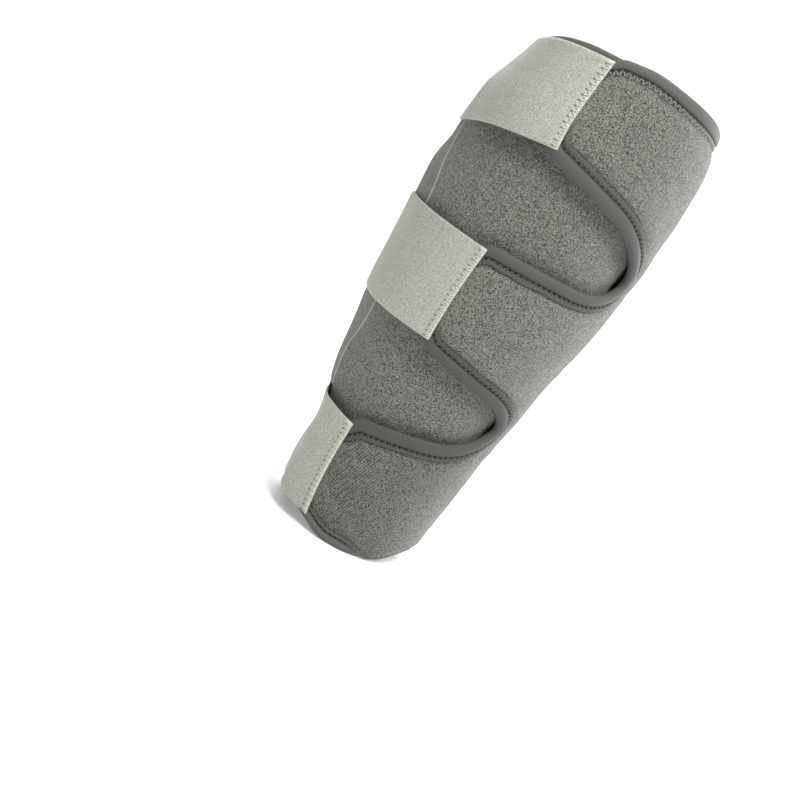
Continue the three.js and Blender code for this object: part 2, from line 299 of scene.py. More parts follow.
def make_piece(name, points, faces, unrolled=None, material_of_face=None):
    mesh = bpy.data.meshes.new(name)
    mesh.from_pydata([tuple(p) for p in points], [], [tuple(int(i) for i in f) for f in faces])
    mesh.shade_smooth()
    if unrolled is not None:
        layer = mesh.uv_layers.new(name="unrolled")
        places = unrolled[points_of_corners(mesh)] * MM
        layer.data.foreach_set("uv", places.astype(np.float32).ravel())
    if material_of_face is not None:
        mesh.polygons.foreach_set("material_index", np.asarray(material_of_face, np.int32))
    mesh.update()
    piece = bpy.data.objects.new(name, mesh)
    bpy.context.collection.objects.link(piece)
    return piece


def add_mask(piece, name, values):
    layer = piece.data.attributes.new(name, "FLOAT", "POINT")
    layer.data.foreach_set("value", np.asarray(values, np.float32))


def grid_quads(numbers, turned=False):
    """Faces between neighbours in a grid of point numbers."""
    corners = [numbers[:-1, :-1], numbers[1:, :-1], numbers[1:, 1:], numbers[:-1, 1:]]
    quads = np.stack(corners, axis=-1).reshape(-1, 4)
    return quads[:, [0, 3, 2, 1]] if turned else quads


def rows_between(low, high, share):
    """Heights at shares of the way from a low to a high edge, a column for each turn."""
    return low[:, None] + (high - low)[:, None] * share[None, :]


def triangles(piece):
    return sum(len(face.vertices) - 2 for face in piece.data.polygons)


# %% [markdown]
# The sheet is foam with a looped knit on its face, about 3.4 mm thick. A zigzag row sews its
# edge tape down. On the tape side the row leaves a groove, and past its far side the foam
# swells back to full thickness. How deep it is pinched only depends on how far the nearest
# row is, so that distance is measured and read through a soft curve. Each edge has its own
# row: how far in its groove lies, and how wide it is. Below the shin the lower tape rolls
# under the rim, so its row closes up there.

# %% Distance from the sheet's stitch rows
ROWS = {
    "binding_top": dict(groove=(3.9, 5.8), over=(0.03, 0.2), width=2.5, flap=0.4),
    "binding_bottom": dict(groove=(3.8, 3.8), over=(0.3, 0.7), width=2.8, flap=0.6),
    "binding_upper_notch": dict(groove=(5.0, 5.9), over=(0.3, 0.7), width=3.3, flap=1.0),
    "binding_lower_notch": dict(groove=(6.4, 5.2), over=(0.3, 0.7), width=3.1, flap=1.0),
    "binding_inner_edge": dict(groove=(5.0, 5.0), over=(0.3, 0.7), width=3.4, flap=0.6),
}
ROLLED_FROM, ROLLED_TO, ROLLED_SHARE = (98, 130), (186, 212), 0.9
PINCH = 1.0
PINCH_UNDER = 1.1
PINCH_LINE = 0.22
PINCH_INSIDE = 0.25
PINCH_FROM, PINCH_WIDTH = -0.3, 5.0
UNDER_TAPE = (-3.4, -1.8)
PINCH_LINE_WIDTH = 0.8
SAMPLE_STEP = 1.0
NEAR_TIP = np.geomspace(0.02, 3, 14)


def rolled_under(turn):
    """How far the lower tape rolls out of sight beneath the rim, below the shin."""
    return ROLLED_SHARE * smooth(*ROLLED_FROM, turn) * (1 - smooth(*ROLLED_TO, turn))


def row_shape(label, turn, share):
    """How far in a row's groove lies, and the row's width, along a share of its tape."""
    near, far = ROWS[label]["groove"]
    kept = 1 - rolled_under(turn) if label == "binding_bottom" else np.ones_like(turn)
    groove = near + (far - near) * smooth(*ROWS[label]["over"], share)
    return groove * kept, ROWS[label]["width"] * kept


print("row widths:", {label: row["width"] for label, row in ROWS.items()}, "mm")


# %% Spots along every edge
def edge_samples():
    """Turn and height of spots along every edge, and how far in each one's row ends."""
    spots = []

    def add(turns, heights, label, share=0.0):
        groove, width = row_shape(label, turns, share)
        spots.append(np.stack([turns, heights, groove + width], axis=1))

    pairs = [
        [("binding_bottom", 0), ("binding_lower_notch", 0)],
        [("binding_lower_notch", 1), ("binding_upper_notch", 0)],
        [("binding_upper_notch", 1), ("binding_top", 0)],
    ]
    for strip, pair in zip(STRIPS, pairs):
        start = strip["tab"]["finger"]
        for side, tip, (label, share) in zip(("low", "high"), ("low_tip", "high_tip"), pair):
            stop = min(strip[tip], INNER_END)
            turns = np.arange(start, stop, SAMPLE_STEP)
            if math.isfinite(strip[tip]):
                turns = np.concatenate([turns, stop - NEAR_TIP])
            if label == "binding_top":
                share = (turns - start) / (stop - start)
            add(turns, strip[side](turns), label, share)
    heights = np.arange(bottom_edge(INNER_END), top_edge(INNER_END), SAMPLE_STEP)
    add(np.full_like(heights, INNER_END), heights, "binding_inner_edge")
    return np.concatenate(spots)


EDGE_SPOTS = edge_samples()
print("edge samples:", len(EDGE_SPOTS))


# %% The pinch beside a row
def past_row(turn, height, block=1500):
    """Millimetres from the far side of the nearest edge's stitch row."""
    turn, height = np.ravel(turn), np.ravel(height)
    found = np.empty(len(turn))
    for start in range(0, len(turn), block):
        part = slice(start, start + block)
        scale = mm_per_degree(turn[part], height[part])[:, None]
        round_leg = (turn[part, None] - EDGE_SPOTS[None, :, 0]) * scale
        up_leg = height[part, None] - EDGE_SPOTS[None, :, 1]
        found[part] = (np.hypot(round_leg, up_leg) - EDGE_SPOTS[None, :, 2]).min(axis=1)
    return found


def pinch(past):
    """How far the foam's outer face is pressed in, at a distance past its row."""
    by_row = PINCH * (1 - smooth(PINCH_FROM, PINCH_WIDTH, past))
    by_tape = PINCH_UNDER * (1 - smooth(*UNDER_TAPE, past))
    return by_row + by_tape + PINCH_LINE * np.exp(-((past / PINCH_LINE_WIDTH) ** 2))


print("pinched by", round(float(pinch(0.0)), 2), "mm at the row's far side")

# %% [markdown]
# Down the calf the lower layer carries one pressed seam, with a smoother strip behind it.
# It shows as a fine raised line, painted lighter in part as a highlight, and as a soft ridge
# where a tab passes over it. The line is a short table again, and a narrow bell-shaped bump
# raises whatever lies on it.

# %% The calf seam
CALF_SEAM = [
    (66, 42), (72.7, 26.9), (92, 26), (122.9, 36.4), (183.5, 35.4), (225.5, 20.2), (262, 6),
]
CALF_SEAM_START = (60, 70)
CALF_SEAM_HEIGHT = 0.5
CALF_SEAM_WIDTH = 1.6
CALF_STRIP_WIDTH = 15
calf_seam = course(*zip(*CALF_SEAM))


def past_calf_seam(turn, height):
    """Millimetres round the leg from the calf seam, on the lower layer."""
    return (np.asarray(turn, float) - 360 - calf_seam(height)) * mm_per_degree(turn, height)


def calf_bump(turn, height, width=CALF_SEAM_WIDTH):
    near = np.exp(-((past_calf_seam(turn, height) / width) ** 2))
    return CALF_SEAM_HEIGHT * near * smooth(*CALF_SEAM_START, height)


print("calf seam from", CALF_SEAM[0][0], "to", CALF_SEAM[-1][0], "mm up")

# %% [markdown]
# Round the calf the bottom tab is pulled tight, so its top edge sinks into the foam and the
# foam swells out above it. The same dent is taken off the sheet's face and off the tab.

# %% The bottom tab's dent
TAB_LEVEL_TURN = 12
CREST = 6
DENT = 2.0
DENT_TURNS = (4, 34)
DENT_BELOW, DENT_EDGE = (42, 7), (-0.3, 1.2)
DENT_END = (-6, 12)


def tab_top_edge(tab, turn):
    """Height of a tab's top edge: it slopes from the seam, then falls round the calf."""
    past = np.maximum(turn - TAB_LEVEL_TURN, 0)
    run = np.hypot(past, CREST) - math.hypot(tab["seam"] - TAB_LEVEL_TURN, CREST)
    short = np.maximum(TAB_LEVEL_TURN - turn, 0)
    return tab["high"] + tab["high_slope"] * run - tab["fall"] * (np.hypot(short, CREST) - CREST)


def dent(turn, height):
    """How far the bottom tab sinks in, at a turn of the tab."""
    tab = TABS["tab_bottom"]
    above = height - tab_top_edge(tab, turn)
    near_edge = smooth(-DENT_BELOW[0], -DENT_BELOW[1], above) * (1 - smooth(*DENT_EDGE, above))
    near_end = smooth(*DENT_END, turn - tab["end"])
    return DENT * near_edge * (1 - smooth(*DENT_TURNS, turn)) * near_end


print("dent under the bottom tab:", DENT, "mm at its deepest")

# %% [markdown]
# The sheet is meshed in three strips that part at the notches. Columns follow the turn, rows
# follow the height, and both close up where a notch rounds in. The lowest strip has finer
# rows, because the bottom tab's dent lies on it.

# %% The sheet's grid
COLUMN_STEP = 2.2
ROW_STEP, DENTED_ROW_STEP = 2.7, 1.3
EDGE_ZONE, EDGE_STEP = 15, 1.0
NOSE_STEPS, TIP_STEPS = 20, 12


def closing(start, stop, count):
    """Steps that close up towards a rounded end, without the first one."""
    share = np.sin(np.arange(1, count + 1) / count * math.pi / 2)
    return start + (stop - start) * share


NOSE_START = LOWER_NOTCH["low"][2]


def columns_past_notches(step):
    """Turns of the columns from the upper notch's tip to the sheet's plain end."""
    tip = UPPER_NOTCH["tip"]
    return np.linspace(tip, INNER_END, round((INNER_END - tip) / step))[1:]


def columns_on_finger(strip, step):
    """Turns of the columns from a finger's end to where the notches round in."""
    start = strip["tab"]["finger"]
    return np.linspace(start, NOSE_START, round((NOSE_START - start) / step), endpoint=False)


SHARED_TURNS = np.concatenate([
    [NOSE_START],
    closing(NOSE_START, LOWER_NOTCH["tip"], NOSE_STEPS),
    closing(LOWER_NOTCH["tip"], UPPER_NOTCH["tip"], TIP_STEPS),
    columns_past_notches(COLUMN_STEP),
])


def strip_turns(strip):
    return np.concatenate([columns_on_finger(strip, COLUMN_STEP), SHARED_TURNS])


def row_shares(span, step):
    """Shares of a strip's height where its rows lie, closer together by its edges."""
    zone = EDGE_ZONE / span
    edge = np.linspace(0, zone, round(EDGE_ZONE / EDGE_STEP), endpoint=False)
    middle = np.linspace(zone, 1 - zone, round((span - 2 * EDGE_ZONE) / step) + 1)
    return np.concatenate([edge, middle, 1 - edge[::-1]])


def strip_grid(strip):
    """Turns and heights of a strip's points, a column for each turn."""
    turns = strip_turns(strip)
    low, high = strip["low"](turns), strip["high"](turns)
    step = DENTED_ROW_STEP if strip is STRIPS[0] else ROW_STEP
    share = row_shares(float(np.max(high - low)), step)
    heights = rows_between(low, high, share)
    return np.repeat(turns[:, None], len(share), axis=1), heights


print("strips of", [strip_grid(strip)[0].shape for strip in STRIPS], "columns and rows")

# %% [markdown]
# Between its stitch rows the cover cloth is a little slack, and it puffs and puckers. A small
# cloth simulation finds out where. A coarse copy of the outer face, one mesh for the whole
# sheet, is grown by four parts in a thousand, pressed lightly from inside and held fast at
# the rows. Only the way it moves in or out is kept, softly capped, so that it stays clear of
# the tape and the tabs.

# %% The coarse cover
COVER_STEP, COVER_TURN = 5.0, 6.0
COVER_NOSE_STEPS = 6
COVER_TURNS = np.concatenate([
    np.linspace(NOSE_START, LOWER_NOTCH["tip"], COVER_NOSE_STEPS),
    [UPPER_NOTCH["tip"]],
    columns_past_notches(COVER_TURN),
])


def cover_grid(strip):
    """Turns, shares and heights of a strip's points on the coarse cover."""
    turns = np.concatenate([columns_on_finger(strip, COVER_TURN), COVER_TURNS])
    low, high = strip["low"](turns), strip["high"](turns)
    share = np.linspace(0, 1, round(float(np.max(high - low)) / COVER_STEP) + 1)
    return turns, share, rows_between(low, high, share)


def cover_mesh(grids):
    """Spots and faces of the whole cover, and each strip's own point numbers."""
    known, faces, numbers = {}, [], []
    for turns, _, heights in grids:
        ids = np.empty(heights.shape, int)
        for place, height in np.ndenumerate(heights):
            key = (round(float(turns[place[0]]), 3), round(float(height), 3))
            ids[place] = known.setdefault(key, len(known))
        faces.append(grid_quads(ids))
        numbers.append(ids)
    return np.array(list(known)), np.concatenate(faces), numbers


COVER_GRIDS = [cover_grid(strip) for strip in STRIPS]
cover_spots, cover_faces, cover_numbers = cover_mesh(COVER_GRIDS)
print("cover:", len(cover_spots), "points,", len(cover_faces), "faces")

# %% Letting the cover settle
COVER_FRAMES = 18
COVER_SLACK, COVER_PRESSURE, COVER_HOLD = 0.004, 0.06, 0.12
COVER_CAP, COVER_PINNED = 0.35, 5


def settle(spots, faces):
    """Runs the cloth and returns how far each spot moved out, in millimetres."""
    turn, height = spots[:, 0], spots[:, 1]
    rest = surface(turn, height, stand_off(turn) + ripple(turn, height) + SHEET)
    cover = make_piece("cover", rest, faces)
    held = cover.vertex_groups.new(name="held")
    weights = np.maximum(COVER_HOLD, 1 - smooth(0, COVER_PINNED, past_row(turn, height)))
    for number, weight in enumerate(weights):
        held.add([number], float(weight), "REPLACE")
    cloth = cover.modifiers.new("cloth", "CLOTH")
    values = dict(
        quality=4, mass=0.2, tension_stiffness=12, compression_stiffness=12, shear_stiffness=5,
        bending_stiffness=0.6, air_damping=4, vertex_group_mass="held", shrink_min=-COVER_SLACK,
        use_pressure=True, uniform_pressure_force=COVER_PRESSURE,
    )
    for name, value in values.items():
        setattr(cloth.settings, name, value)
    cloth.settings.effector_weights.gravity = 0
    cloth.point_cache.frame_start, cloth.point_cache.frame_end = 1, COVER_FRAMES
    for frame_number in range(1, COVER_FRAMES + 1):
        bpy.context.scene.frame_set(frame_number)
    shown = cover.evaluated_get(bpy.context.evaluated_depsgraph_get())
    moved = np.empty(3 * len(spots))
    shown.data.vertices.foreach_get("co", moved)
    out = ((moved.reshape(-1, 3) - rest) * outward_at(turn, height)).sum(axis=1) / MM
    bpy.data.objects.remove(cover)
    bpy.context.scene.frame_set(1)
    return out


puff = settle(cover_spots, cover_faces)
print("cover moved", np.percentile(puff, [1, 50, 99]).round(2), "mm")
puff = COVER_CAP * np.tanh(puff / COVER_CAP)

# %% [markdown]
# Now the fine skin: both faces of each strip and the rims between them, welded into one
# closed piece. The outer face is the full thickness, less the pinch of the rows and the
# tab's dent, plus what the cover moved.

# %% Levels of the sheet's two faces
def puffed(number, turn, height):
    """The cover's movement at fine points of a strip, read between its coarse points."""
    turns, share, _ = COVER_GRIDS[number]
    values = puff[cover_numbers[number]]
    low, high = STRIPS[number]["low"](turn), STRIPS[number]["high"](turn)
    column = np.interp(turn, turns, np.arange(len(turns)))
    row = np.clip((height - low) / (high - low), 0, 1) * (len(share) - 1)
    left = np.minimum(column.astype(int), len(turns) - 2)
    under = np.minimum(row.astype(int), len(share) - 2)
    along, up = column - left, row - under
    first = values[left, under] * (1 - up) + values[left, under + 1] * up
    second = values[left + 1, under] * (1 - up) + values[left + 1, under + 1] * up
    return first * (1 - along) + second * along


def sheet_levels(number, turn, height):
    """How far the sheet's inner and outer faces stand off the form."""
    past = past_row(turn, height).reshape(np.shape(turn))
    base = stand_off(turn) + ripple(turn, height)
    inner = base + PINCH_INSIDE * (1 - smooth(PINCH_FROM, PINCH_WIDTH, past))
    outer = base + SHEET - pinch(past) + calf_bump(turn, height) - dent(turn - 360, height)
    outer = outer + puffed(number, turn, height)
    return inner, outer


SHIN_SPOT = np.array([180.0]), np.array([150.0])
print("faces at the shin:", [level.round(2) for level in sheet_levels(1, *SHIN_SPOT)], "mm")

# %% The sheet's skin
UNROLLED_TURN = 0.9
TIP_SLACK = 1e-6


def make_sheet():
    points, faces, unrolled, kinds = [], [], [], []
    count = 0
    for number, strip in enumerate(STRIPS):
        turn, height = strip_grid(strip)
        inner, outer = sheet_levels(number, turn, height)
        columns, rows = turn.shape
        outside = count + np.arange(columns * rows).reshape(columns, rows)
        inside = outside + columns * rows
        count += 2 * columns * rows
        for level in (outer, inner):
            points.append(surface(turn, height, level).reshape(-1, 3))
            unrolled.append(np.stack([turn.ravel() * UNROLLED_TURN, height.ravel()], axis=1))
        for kind, numbers in enumerate((outside, inside)):
            faces.append(grid_quads(numbers, turned=kind == 1))
            kinds.append(np.full(len(faces[-1]), kind))
        rims = [
            (outside[:, 0], inside[:, 0], turn[1:, 0] <= strip["low_tip"] + TIP_SLACK, False),
            (outside[:, -1], inside[:, -1], turn[1:, 0] <= strip["high_tip"] + TIP_SLACK, True),
            (outside[0], inside[0], np.ones(rows - 1, bool), True),
            (outside[-1], inside[-1], np.ones(rows - 1, bool), False),
        ]
        for out_line, in_line, kept, turned in rims:
            corners = [out_line[:-1], in_line[:-1], in_line[1:], out_line[1:]]
            quads = np.stack(corners, axis=-1)[kept]
            faces.append(quads[:, ::-1] if turned else quads)
            kinds.append(np.zeros(len(quads), int))
    return make_piece(
        "padded_sheet", np.concatenate(points), np.concatenate(faces),
        np.concatenate(unrolled), np.concatenate(kinds),
    )


def weld(piece, distance=2e-6):
    """Merges points that lie on each other, drops faces with no area, turns the rest out."""
    work = bmesh.new()
    work.from_mesh(piece.data)
    bmesh.ops.remove_doubles(work, verts=work.verts, dist=distance)
    bmesh.ops.dissolve_degenerate(work, edges=work.edges, dist=distance)
    bmesh.ops.recalc_face_normals(work, faces=work.faces)
    open_edges = sum(1 for edge in work.edges if not edge.is_manifold)
    work.to_mesh(piece.data)
    work.free()
    piece.data.update()
    return open_edges


padded_sheet = make_sheet()
open_edges = weld(padded_sheet)
print("sheet:", triangles(padded_sheet), "triangles,", open_edges, "open edges")

# %% [markdown]
# The loop cloth isn't the same all over. It is smoother behind the calf seam, brushed into
# fine ribs near the bottom tab, darker on the lowest finger, and pressed flat beside each
# stitch row, where painted shade darkens it for the shadow of the pinch. A pale line down the
# calf seam is partly a painted highlight. A texture could paint that, but a mask on the points
# follows the sheet's own map.

# %% Masks on the sheet
CALF_LINE_HIGHLIGHT_WIDTH = 1.3
STRIP_FADE_IN, STRIP_FADE_OUT = (0, 1.5), (CALF_STRIP_WIDTH - 2, CALF_STRIP_WIDTH)
RIBBED_HEIGHTS, RIBBED_TURNS = (62, 84), (84, 118)
LOW_FINGER_HEIGHTS, LOW_FINGER_TURNS = (66, 84), (128, 165)
# Beside each row the loops are pressed flat, and the mask there also carries painted shade for the
# pinch's shadow.
PRESSED_SHADE_AT, PRESSED_SHADE_WIDTH = 0.2, 0.9


def unrolled_of_points(piece):
    """Turn and height of each point, from the piece's unrolled map."""
    mesh = piece.data
    places = np.zeros(2 * len(mesh.loops))
    mesh.uv_layers["unrolled"].data.foreach_get("uv", places)
    spots = np.zeros((len(mesh.vertices), 2))
    spots[points_of_corners(mesh)] = places.reshape(-1, 2) / MM
    return spots[:, 0] / UNROLLED_TURN, spots[:, 1]


sheet_turn, sheet_height = unrolled_of_points(padded_sheet)
behind = -past_calf_seam(sheet_turn, sheet_height)
on_strip = smooth(*STRIP_FADE_IN, behind) * (1 - smooth(*STRIP_FADE_OUT, behind))
seam_begins = smooth(*CALF_SEAM_START, sheet_height)
add_mask(padded_sheet, "calf_strip", on_strip * seam_begins)
# The calf line mask lightens the seam's raised line, partly as a painted highlight.
add_mask(padded_sheet, "calf_line_and_highlight", np.exp(-((behind / CALF_LINE_HIGHLIGHT_WIDTH) ** 2)) * seam_begins)
for name, heights, turns in (
    ("ribbed", RIBBED_HEIGHTS, RIBBED_TURNS),
    ("low_finger", LOW_FINGER_HEIGHTS, LOW_FINGER_TURNS),
):
    inside = (1 - smooth(*heights, sheet_height)) * (1 - smooth(*turns, sheet_turn))
    add_mask(padded_sheet, name, inside)
# The pressed mask: loops pressed flat beside each row, darkened with painted shade.
from_row = past_row(sheet_turn, sheet_height) - PRESSED_SHADE_AT
add_mask(padded_sheet, "pressed_and_shaded", np.exp(-((from_row / PRESSED_SHADE_WIDTH) ** 2)))
print("points on the calf strip:", int((on_strip > 0.5).sum()))

# %% [markdown]
# The edge tape is a soft folded ribbon. Seen across, it is a plump roll round the edge, then
# the groove of its stitch row, then a thin flap that ends under the zigzag. That section is
# swept along each edge in the unrolled map, so the tape bends with the sheet. Its flap
# wanders a little, as ribbon fed by hand does, and each stitch tugs at it.

# %% The tape's section
TAPE = 0.5
TAPE_CLEAR = 0.08
ROLL_TOP = SHEET + 0.6
FLAP_TOP = SHEET - PINCH + TAPE_CLEAR + TAPE
GROOVE_LOW = FLAP_TOP - 1.1
TAPE_UNDER = PINCH_INSIDE - TAPE_CLEAR - TAPE
FOLD_RADIUS = 1.4
ROLL_FULLNESS = 0.8
FLAP_DIPS_FROM = 0.3
LEAST_BACK = 2
HIDDEN_LEVEL, HIDDEN_RIM = 0.38, 0.1
ROLL_STEPS, FOLD_STEPS, FLAP_STEPS = 16, 8, 6


def tape_section(groove, flap, hidden):
    """Reach in from the sheet's edge and level off its inner face, round the tape."""
    rim = RIM + (HIDDEN_RIM - RIM) * hidden
    tops = np.array([FLAP_TOP, GROOVE_LOW, ROLL_TOP]) * (1 + (HIDDEN_LEVEL - 1) * hidden)
    flap_top, groove_low, roll_top = tops
    half = (groove + rim) / 2
    share = np.linspace(0, 1, FLAP_STEPS, endpoint=False)
    level = flap_top + (groove_low - flap_top) * smooth(FLAP_DIPS_FROM, 1, share)
    over_row = np.stack([flap + (groove - flap) * share, level], axis=1)
    angle = np.linspace(0, math.pi, ROLL_STEPS, endpoint=False)
    level = groove_low + (roll_top - groove_low) * np.sin(angle) ** ROLL_FULLNESS
    roll = np.stack([groove - half + half * np.cos(angle), level], axis=1)
    angle = np.linspace(0, math.pi / 2, FOLD_STEPS)
    level = groove_low + (TAPE_UNDER - groove_low) * np.sin(angle)
    fold = np.stack([FOLD_RADIUS * (1 - np.cos(angle)) - rim, level], axis=1)
    share = np.linspace(0, 1, FLAP_STEPS + 1)[1:]
    start = fold[-1, 0]
    reach = max(flap - start, LEAST_BACK)
    back = np.stack([start + reach * share, np.full_like(share, TAPE_UNDER)], axis=1)
    line = np.concatenate([over_row, roll, fold, back])
    along = unit(np.gradient(line, axis=0))
    inside = line + TAPE * np.stack([-along[:, 1], along[:, 0]], axis=1)
    return np.concatenate([line, inside[::-1]])


print("points round a tape:", len(tape_section(groove=5.0, flap=7.0, hidden=0.0)))

# %% Tape along an edge
TAPE_STEP = 0.8
STITCH_PERIOD = 3.2
FLAP_WANDER, WANDER_SPAN, WANDER_GAIN, WANDER_SEED = 0.25, 27, 3, 20
TUG, TUG_REACH = 0.15, 1.3
CREASE_SHADE_WIDTH = 0.75


def finer(turns, edge):
    """The same edge at an even step in millimetres."""
    spots = np.stack([turns, edge(turns)], axis=1)
    place = surface(spots[:, 0], spots[:, 1], stand_off(spots[:, 0]) + SHEET / 2) / MM
    gone = np.concatenate([[0], np.cumsum(np.linalg.norm(np.diff(place, axis=0), axis=1))])
    steps = np.linspace(0, gone[-1], max(2, round(gone[-1] / TAPE_STEP)))
    return np.stack([np.interp(steps, gone, column) for column in spots.T], axis=1)


def headings(path):
    """Unit direction of travel in the unrolled map, and its scale, at each spot."""
    scale = mm_per_degree(path[:, 0], path[:, 1], stand_off(path[:, 0]) + SHEET / 2)
    ahead = np.gradient(path, axis=0)
    ahead[:, 0] *= scale
    return unit(ahead), scale


def tape_spots(path, reach):
    """Turn and height of spots that lie in from the edge by a reach."""
    ahead, scale = headings(path)
    turn = path[:, 0, None] + reach * ahead[:, 1, None] / scale[:, None]
    height = path[:, 1, None] - reach * ahead[:, 0, None]
    return turn, height


def slow_wander(count, seed):
    raw = np.random.default_rng(seed).normal(0, 1, count)
    window = np.hanning(WANDER_SPAN) / np.hanning(WANDER_SPAN).sum()
    padded = np.pad(raw, WANDER_SPAN // 2, mode="edge")
    return WANDER_GAIN * np.convolve(padded, window, mode="valid")


def make_tape(label, path, seed):
    grooves, widths = row_shape(label, path[:, 0], np.linspace(0, 1, len(path)))
    over = ROWS[label]["flap"] * widths
    hidden = (1 - widths / ROWS[label]["width"]) / ROLLED_SHARE
    sections = np.stack([tape_section(*row) for row in zip(grooves, grooves + over, hidden)])
    count, around = sections.shape[:2]
    reach, level = sections[..., 0].copy(), sections[..., 1].copy()
    # A mask of painted shade along the groove, on the tape's outer face.
    crease_shade = np.exp(-(((reach - grooves[:, None]) / CREASE_SHADE_WIDTH) ** 2)) * (level > SHEET / 2)
    near_flap = smooth(0, 1, (reach - grooves[:, None]) / over[:, None])
    reach += FLAP_WANDER * slow_wander(count, seed)[:, None] * near_flap
    beat = np.sin(2 * math.pi * np.arange(count) * TAPE_STEP / STITCH_PERIOD)
    near_groove = np.exp(-(((reach - grooves[:, None]) / TUG_REACH) ** 2)) * (level > SHEET / 2)
    level += TUG * beat[:, None] * near_groove
    turn, height = tape_spots(path, reach)
    level = stand_off(turn) + ripple(turn, height) + level
    points = surface(turn, height, level).reshape(-1, 3)
    index = np.arange(count * around).reshape(count, around)
    faces = list(grid_quads(np.concatenate([index, index[:, :1]], axis=1), turned=True))
    for end in (index[0], index[-1]):
        for i in range(around // 2 - 1):
            faces.append((end[i], end[around - 1 - i], end[around - 2 - i], end[i + 1]))
    gone = np.arange(count) * TAPE_STEP
    strip = np.cumsum(np.r_[0, np.linalg.norm(np.diff(sections[0], axis=0), axis=1)])
    unrolled = np.stack(np.broadcast_arrays(gone[:, None], strip[None, :]), axis=-1).reshape(-1, 2)
    piece = make_piece(label.replace("binding", "tape"), points, faces, unrolled)
    add_mask(piece, "crease_shade", crease_shade.ravel())
    print(piece.name, count, "stations,", triangles(piece), "triangles,", weld(piece), "open edges")
    return piece


# %% The five tapes
LOW_STRIP, MIDDLE_STRIP, HIGH_STRIP = STRIPS
TAPE_BACK = 7
INNER_EDGE_MARGIN = 9.5


def taped_turns(strip, stop):
    turns = strip_turns(strip)
    return turns[(turns >= strip["tab"]["finger"] + TAPE_BACK) & (turns <= stop + TIP_SLACK)]


def notch_path(notch, below, above):
    low = finer(taped_turns(below, notch["tip"]), below["high"])
    high = finer(taped_turns(above, notch["tip"]), above["low"])
    return np.concatenate([low, high[::-1][1:]])


def inner_edge_path():
    top = top_edge(INNER_END) - INNER_EDGE_MARGIN
    heights = np.arange(top, bottom_edge(INNER_END) + INNER_EDGE_MARGIN, -TAPE_STEP)
    return np.stack([np.full_like(heights, INNER_END), heights], axis=1)


TAPE_PATHS = {
    "binding_top": finer(taped_turns(HIGH_STRIP, INNER_END), HIGH_STRIP["high"]),
    "binding_bottom": finer(taped_turns(LOW_STRIP, INNER_END)[::-1], bottom_edge),
    "binding_upper_notch": notch_path(UPPER_NOTCH, MIDDLE_STRIP, HIGH_STRIP),
    "binding_lower_notch": notch_path(LOWER_NOTCH, LOW_STRIP, MIDDLE_STRIP),
    "binding_inner_edge": inner_edge_path(),
}
tapes = {}
for number, (label, path) in enumerate(TAPE_PATHS.items()):
    tapes[label] = make_tape(label, path, WANDER_SEED + number)

# %% [markdown]
# Each hook tab is a firm woven strip sewn to its finger's end and pressed on the looped face.
# It is laid as a fine grid in the unrolled map. Its edges are thinner than its middle, its
# sewn end sinks into the foam, and its far end has round corners and lifts by a hair.

# %% A tab's outline and lie
TAB = 1.3
TAB_CLEAR = 0.4
TAB_CORNER, TAB_CORNER_STEPS = 7, 9
TAB_STEP = 1.0
TAB_OVER_SEAM = 4.5
SEAM_DEPTH, SEAM_SPRING, SEAM_FLAT, SPRING_SHARE = 0.45, 1.5, 6, 0.4


def seam_turn(tab, share):
    """Where a tab's sewn edge lies at a share of its height: it leans, and bows in."""
    bow = tab["bow"] * (1 - (2 * share - 1) ** 2)
    return tab["seam"] + tab["lean"] * (share - 0.5) - bow


def tab_grid(tab):
    """Turns and heights of a tab's points, a column for each turn from the seam on."""
    middle = (tab["low"] + tab["high"]) / 2
    corner = TAB_CORNER / float(mm_per_degree(tab["end"], middle))
    round_from = tab["end"] + corner
    step = TAB_STEP / float(mm_per_degree((tab["seam"] + tab["end"]) / 2, middle))
    turns = np.concatenate([
        np.linspace(tab["seam"], round_from, round((tab["seam"] - round_from) / step)),
        closing(round_from, tab["end"], TAB_CORNER_STEPS),
    ])
    part = np.clip((round_from - turns) / corner, 0, 1)
    inset = TAB_CORNER * (1 - np.sqrt(1 - part**2))
    run = np.maximum(turns, TAB_LEVEL_TURN) - tab["seam"]
    low = tab["low"] + tab["low_slope"] * run + inset
    high = tab_top_edge(tab, turns) - inset
    share = np.linspace(0, 1, round((tab["high"] - tab["low"]) / TAB_STEP) + 1)
    heights = rows_between(low, high, share)
    leaning = turns[:, None] + seam_turn(tab, share)[None, :] - tab["seam"]
    return leaning, heights, share


def tab_level(tab, turn, height):
    """How far a tab's underside stands off the form."""
    drop = tab["drop"] / mm_per_degree(tab["finger"], height)
    over = smooth(tab["finger"] - drop, tab["finger"], turn)
    below = SHEET + ripple(turn + 360, height) + calf_bump(turn + 360, height, TAB_OVER_SEAM)
    if tab is TABS["tab_bottom"]:
        below = below - dent(turn, height)
    on_finger = 2 * SHEET + LIFT + ripple(turn, height)
    return below * (1 - over) + on_finger * over + TAB_CLEAR


def pressed_level(tab, turn, height, from_seam):
    """The same, with the sewn end sunk in along its stitches and its edge sprung up."""
    sprung = SPRING_SHARE * (1 - smooth(0, SEAM_SPRING, from_seam))
    sunk = SEAM_DEPTH * (1 - smooth(SEAM_SPRING, SEAM_FLAT, from_seam)) * (1 - sprung)
    return tab_level(tab, turn, height) - sunk


print("tab grids:", {name: tab_grid(tab)[0].shape for name, tab in TABS.items()})

# %% Hook tabs
END_LIFT, END_LIFT_LENGTH = 0.5, 8
EDGE_WIDTH, EDGE_TOP, EDGE_UNDER = 1.3, 0.4, 0.25
# A pale band along a tab's sewn end, painted on as a highlight.
SEAM_EDGE_HIGHLIGHT = (2.2, 3.2)


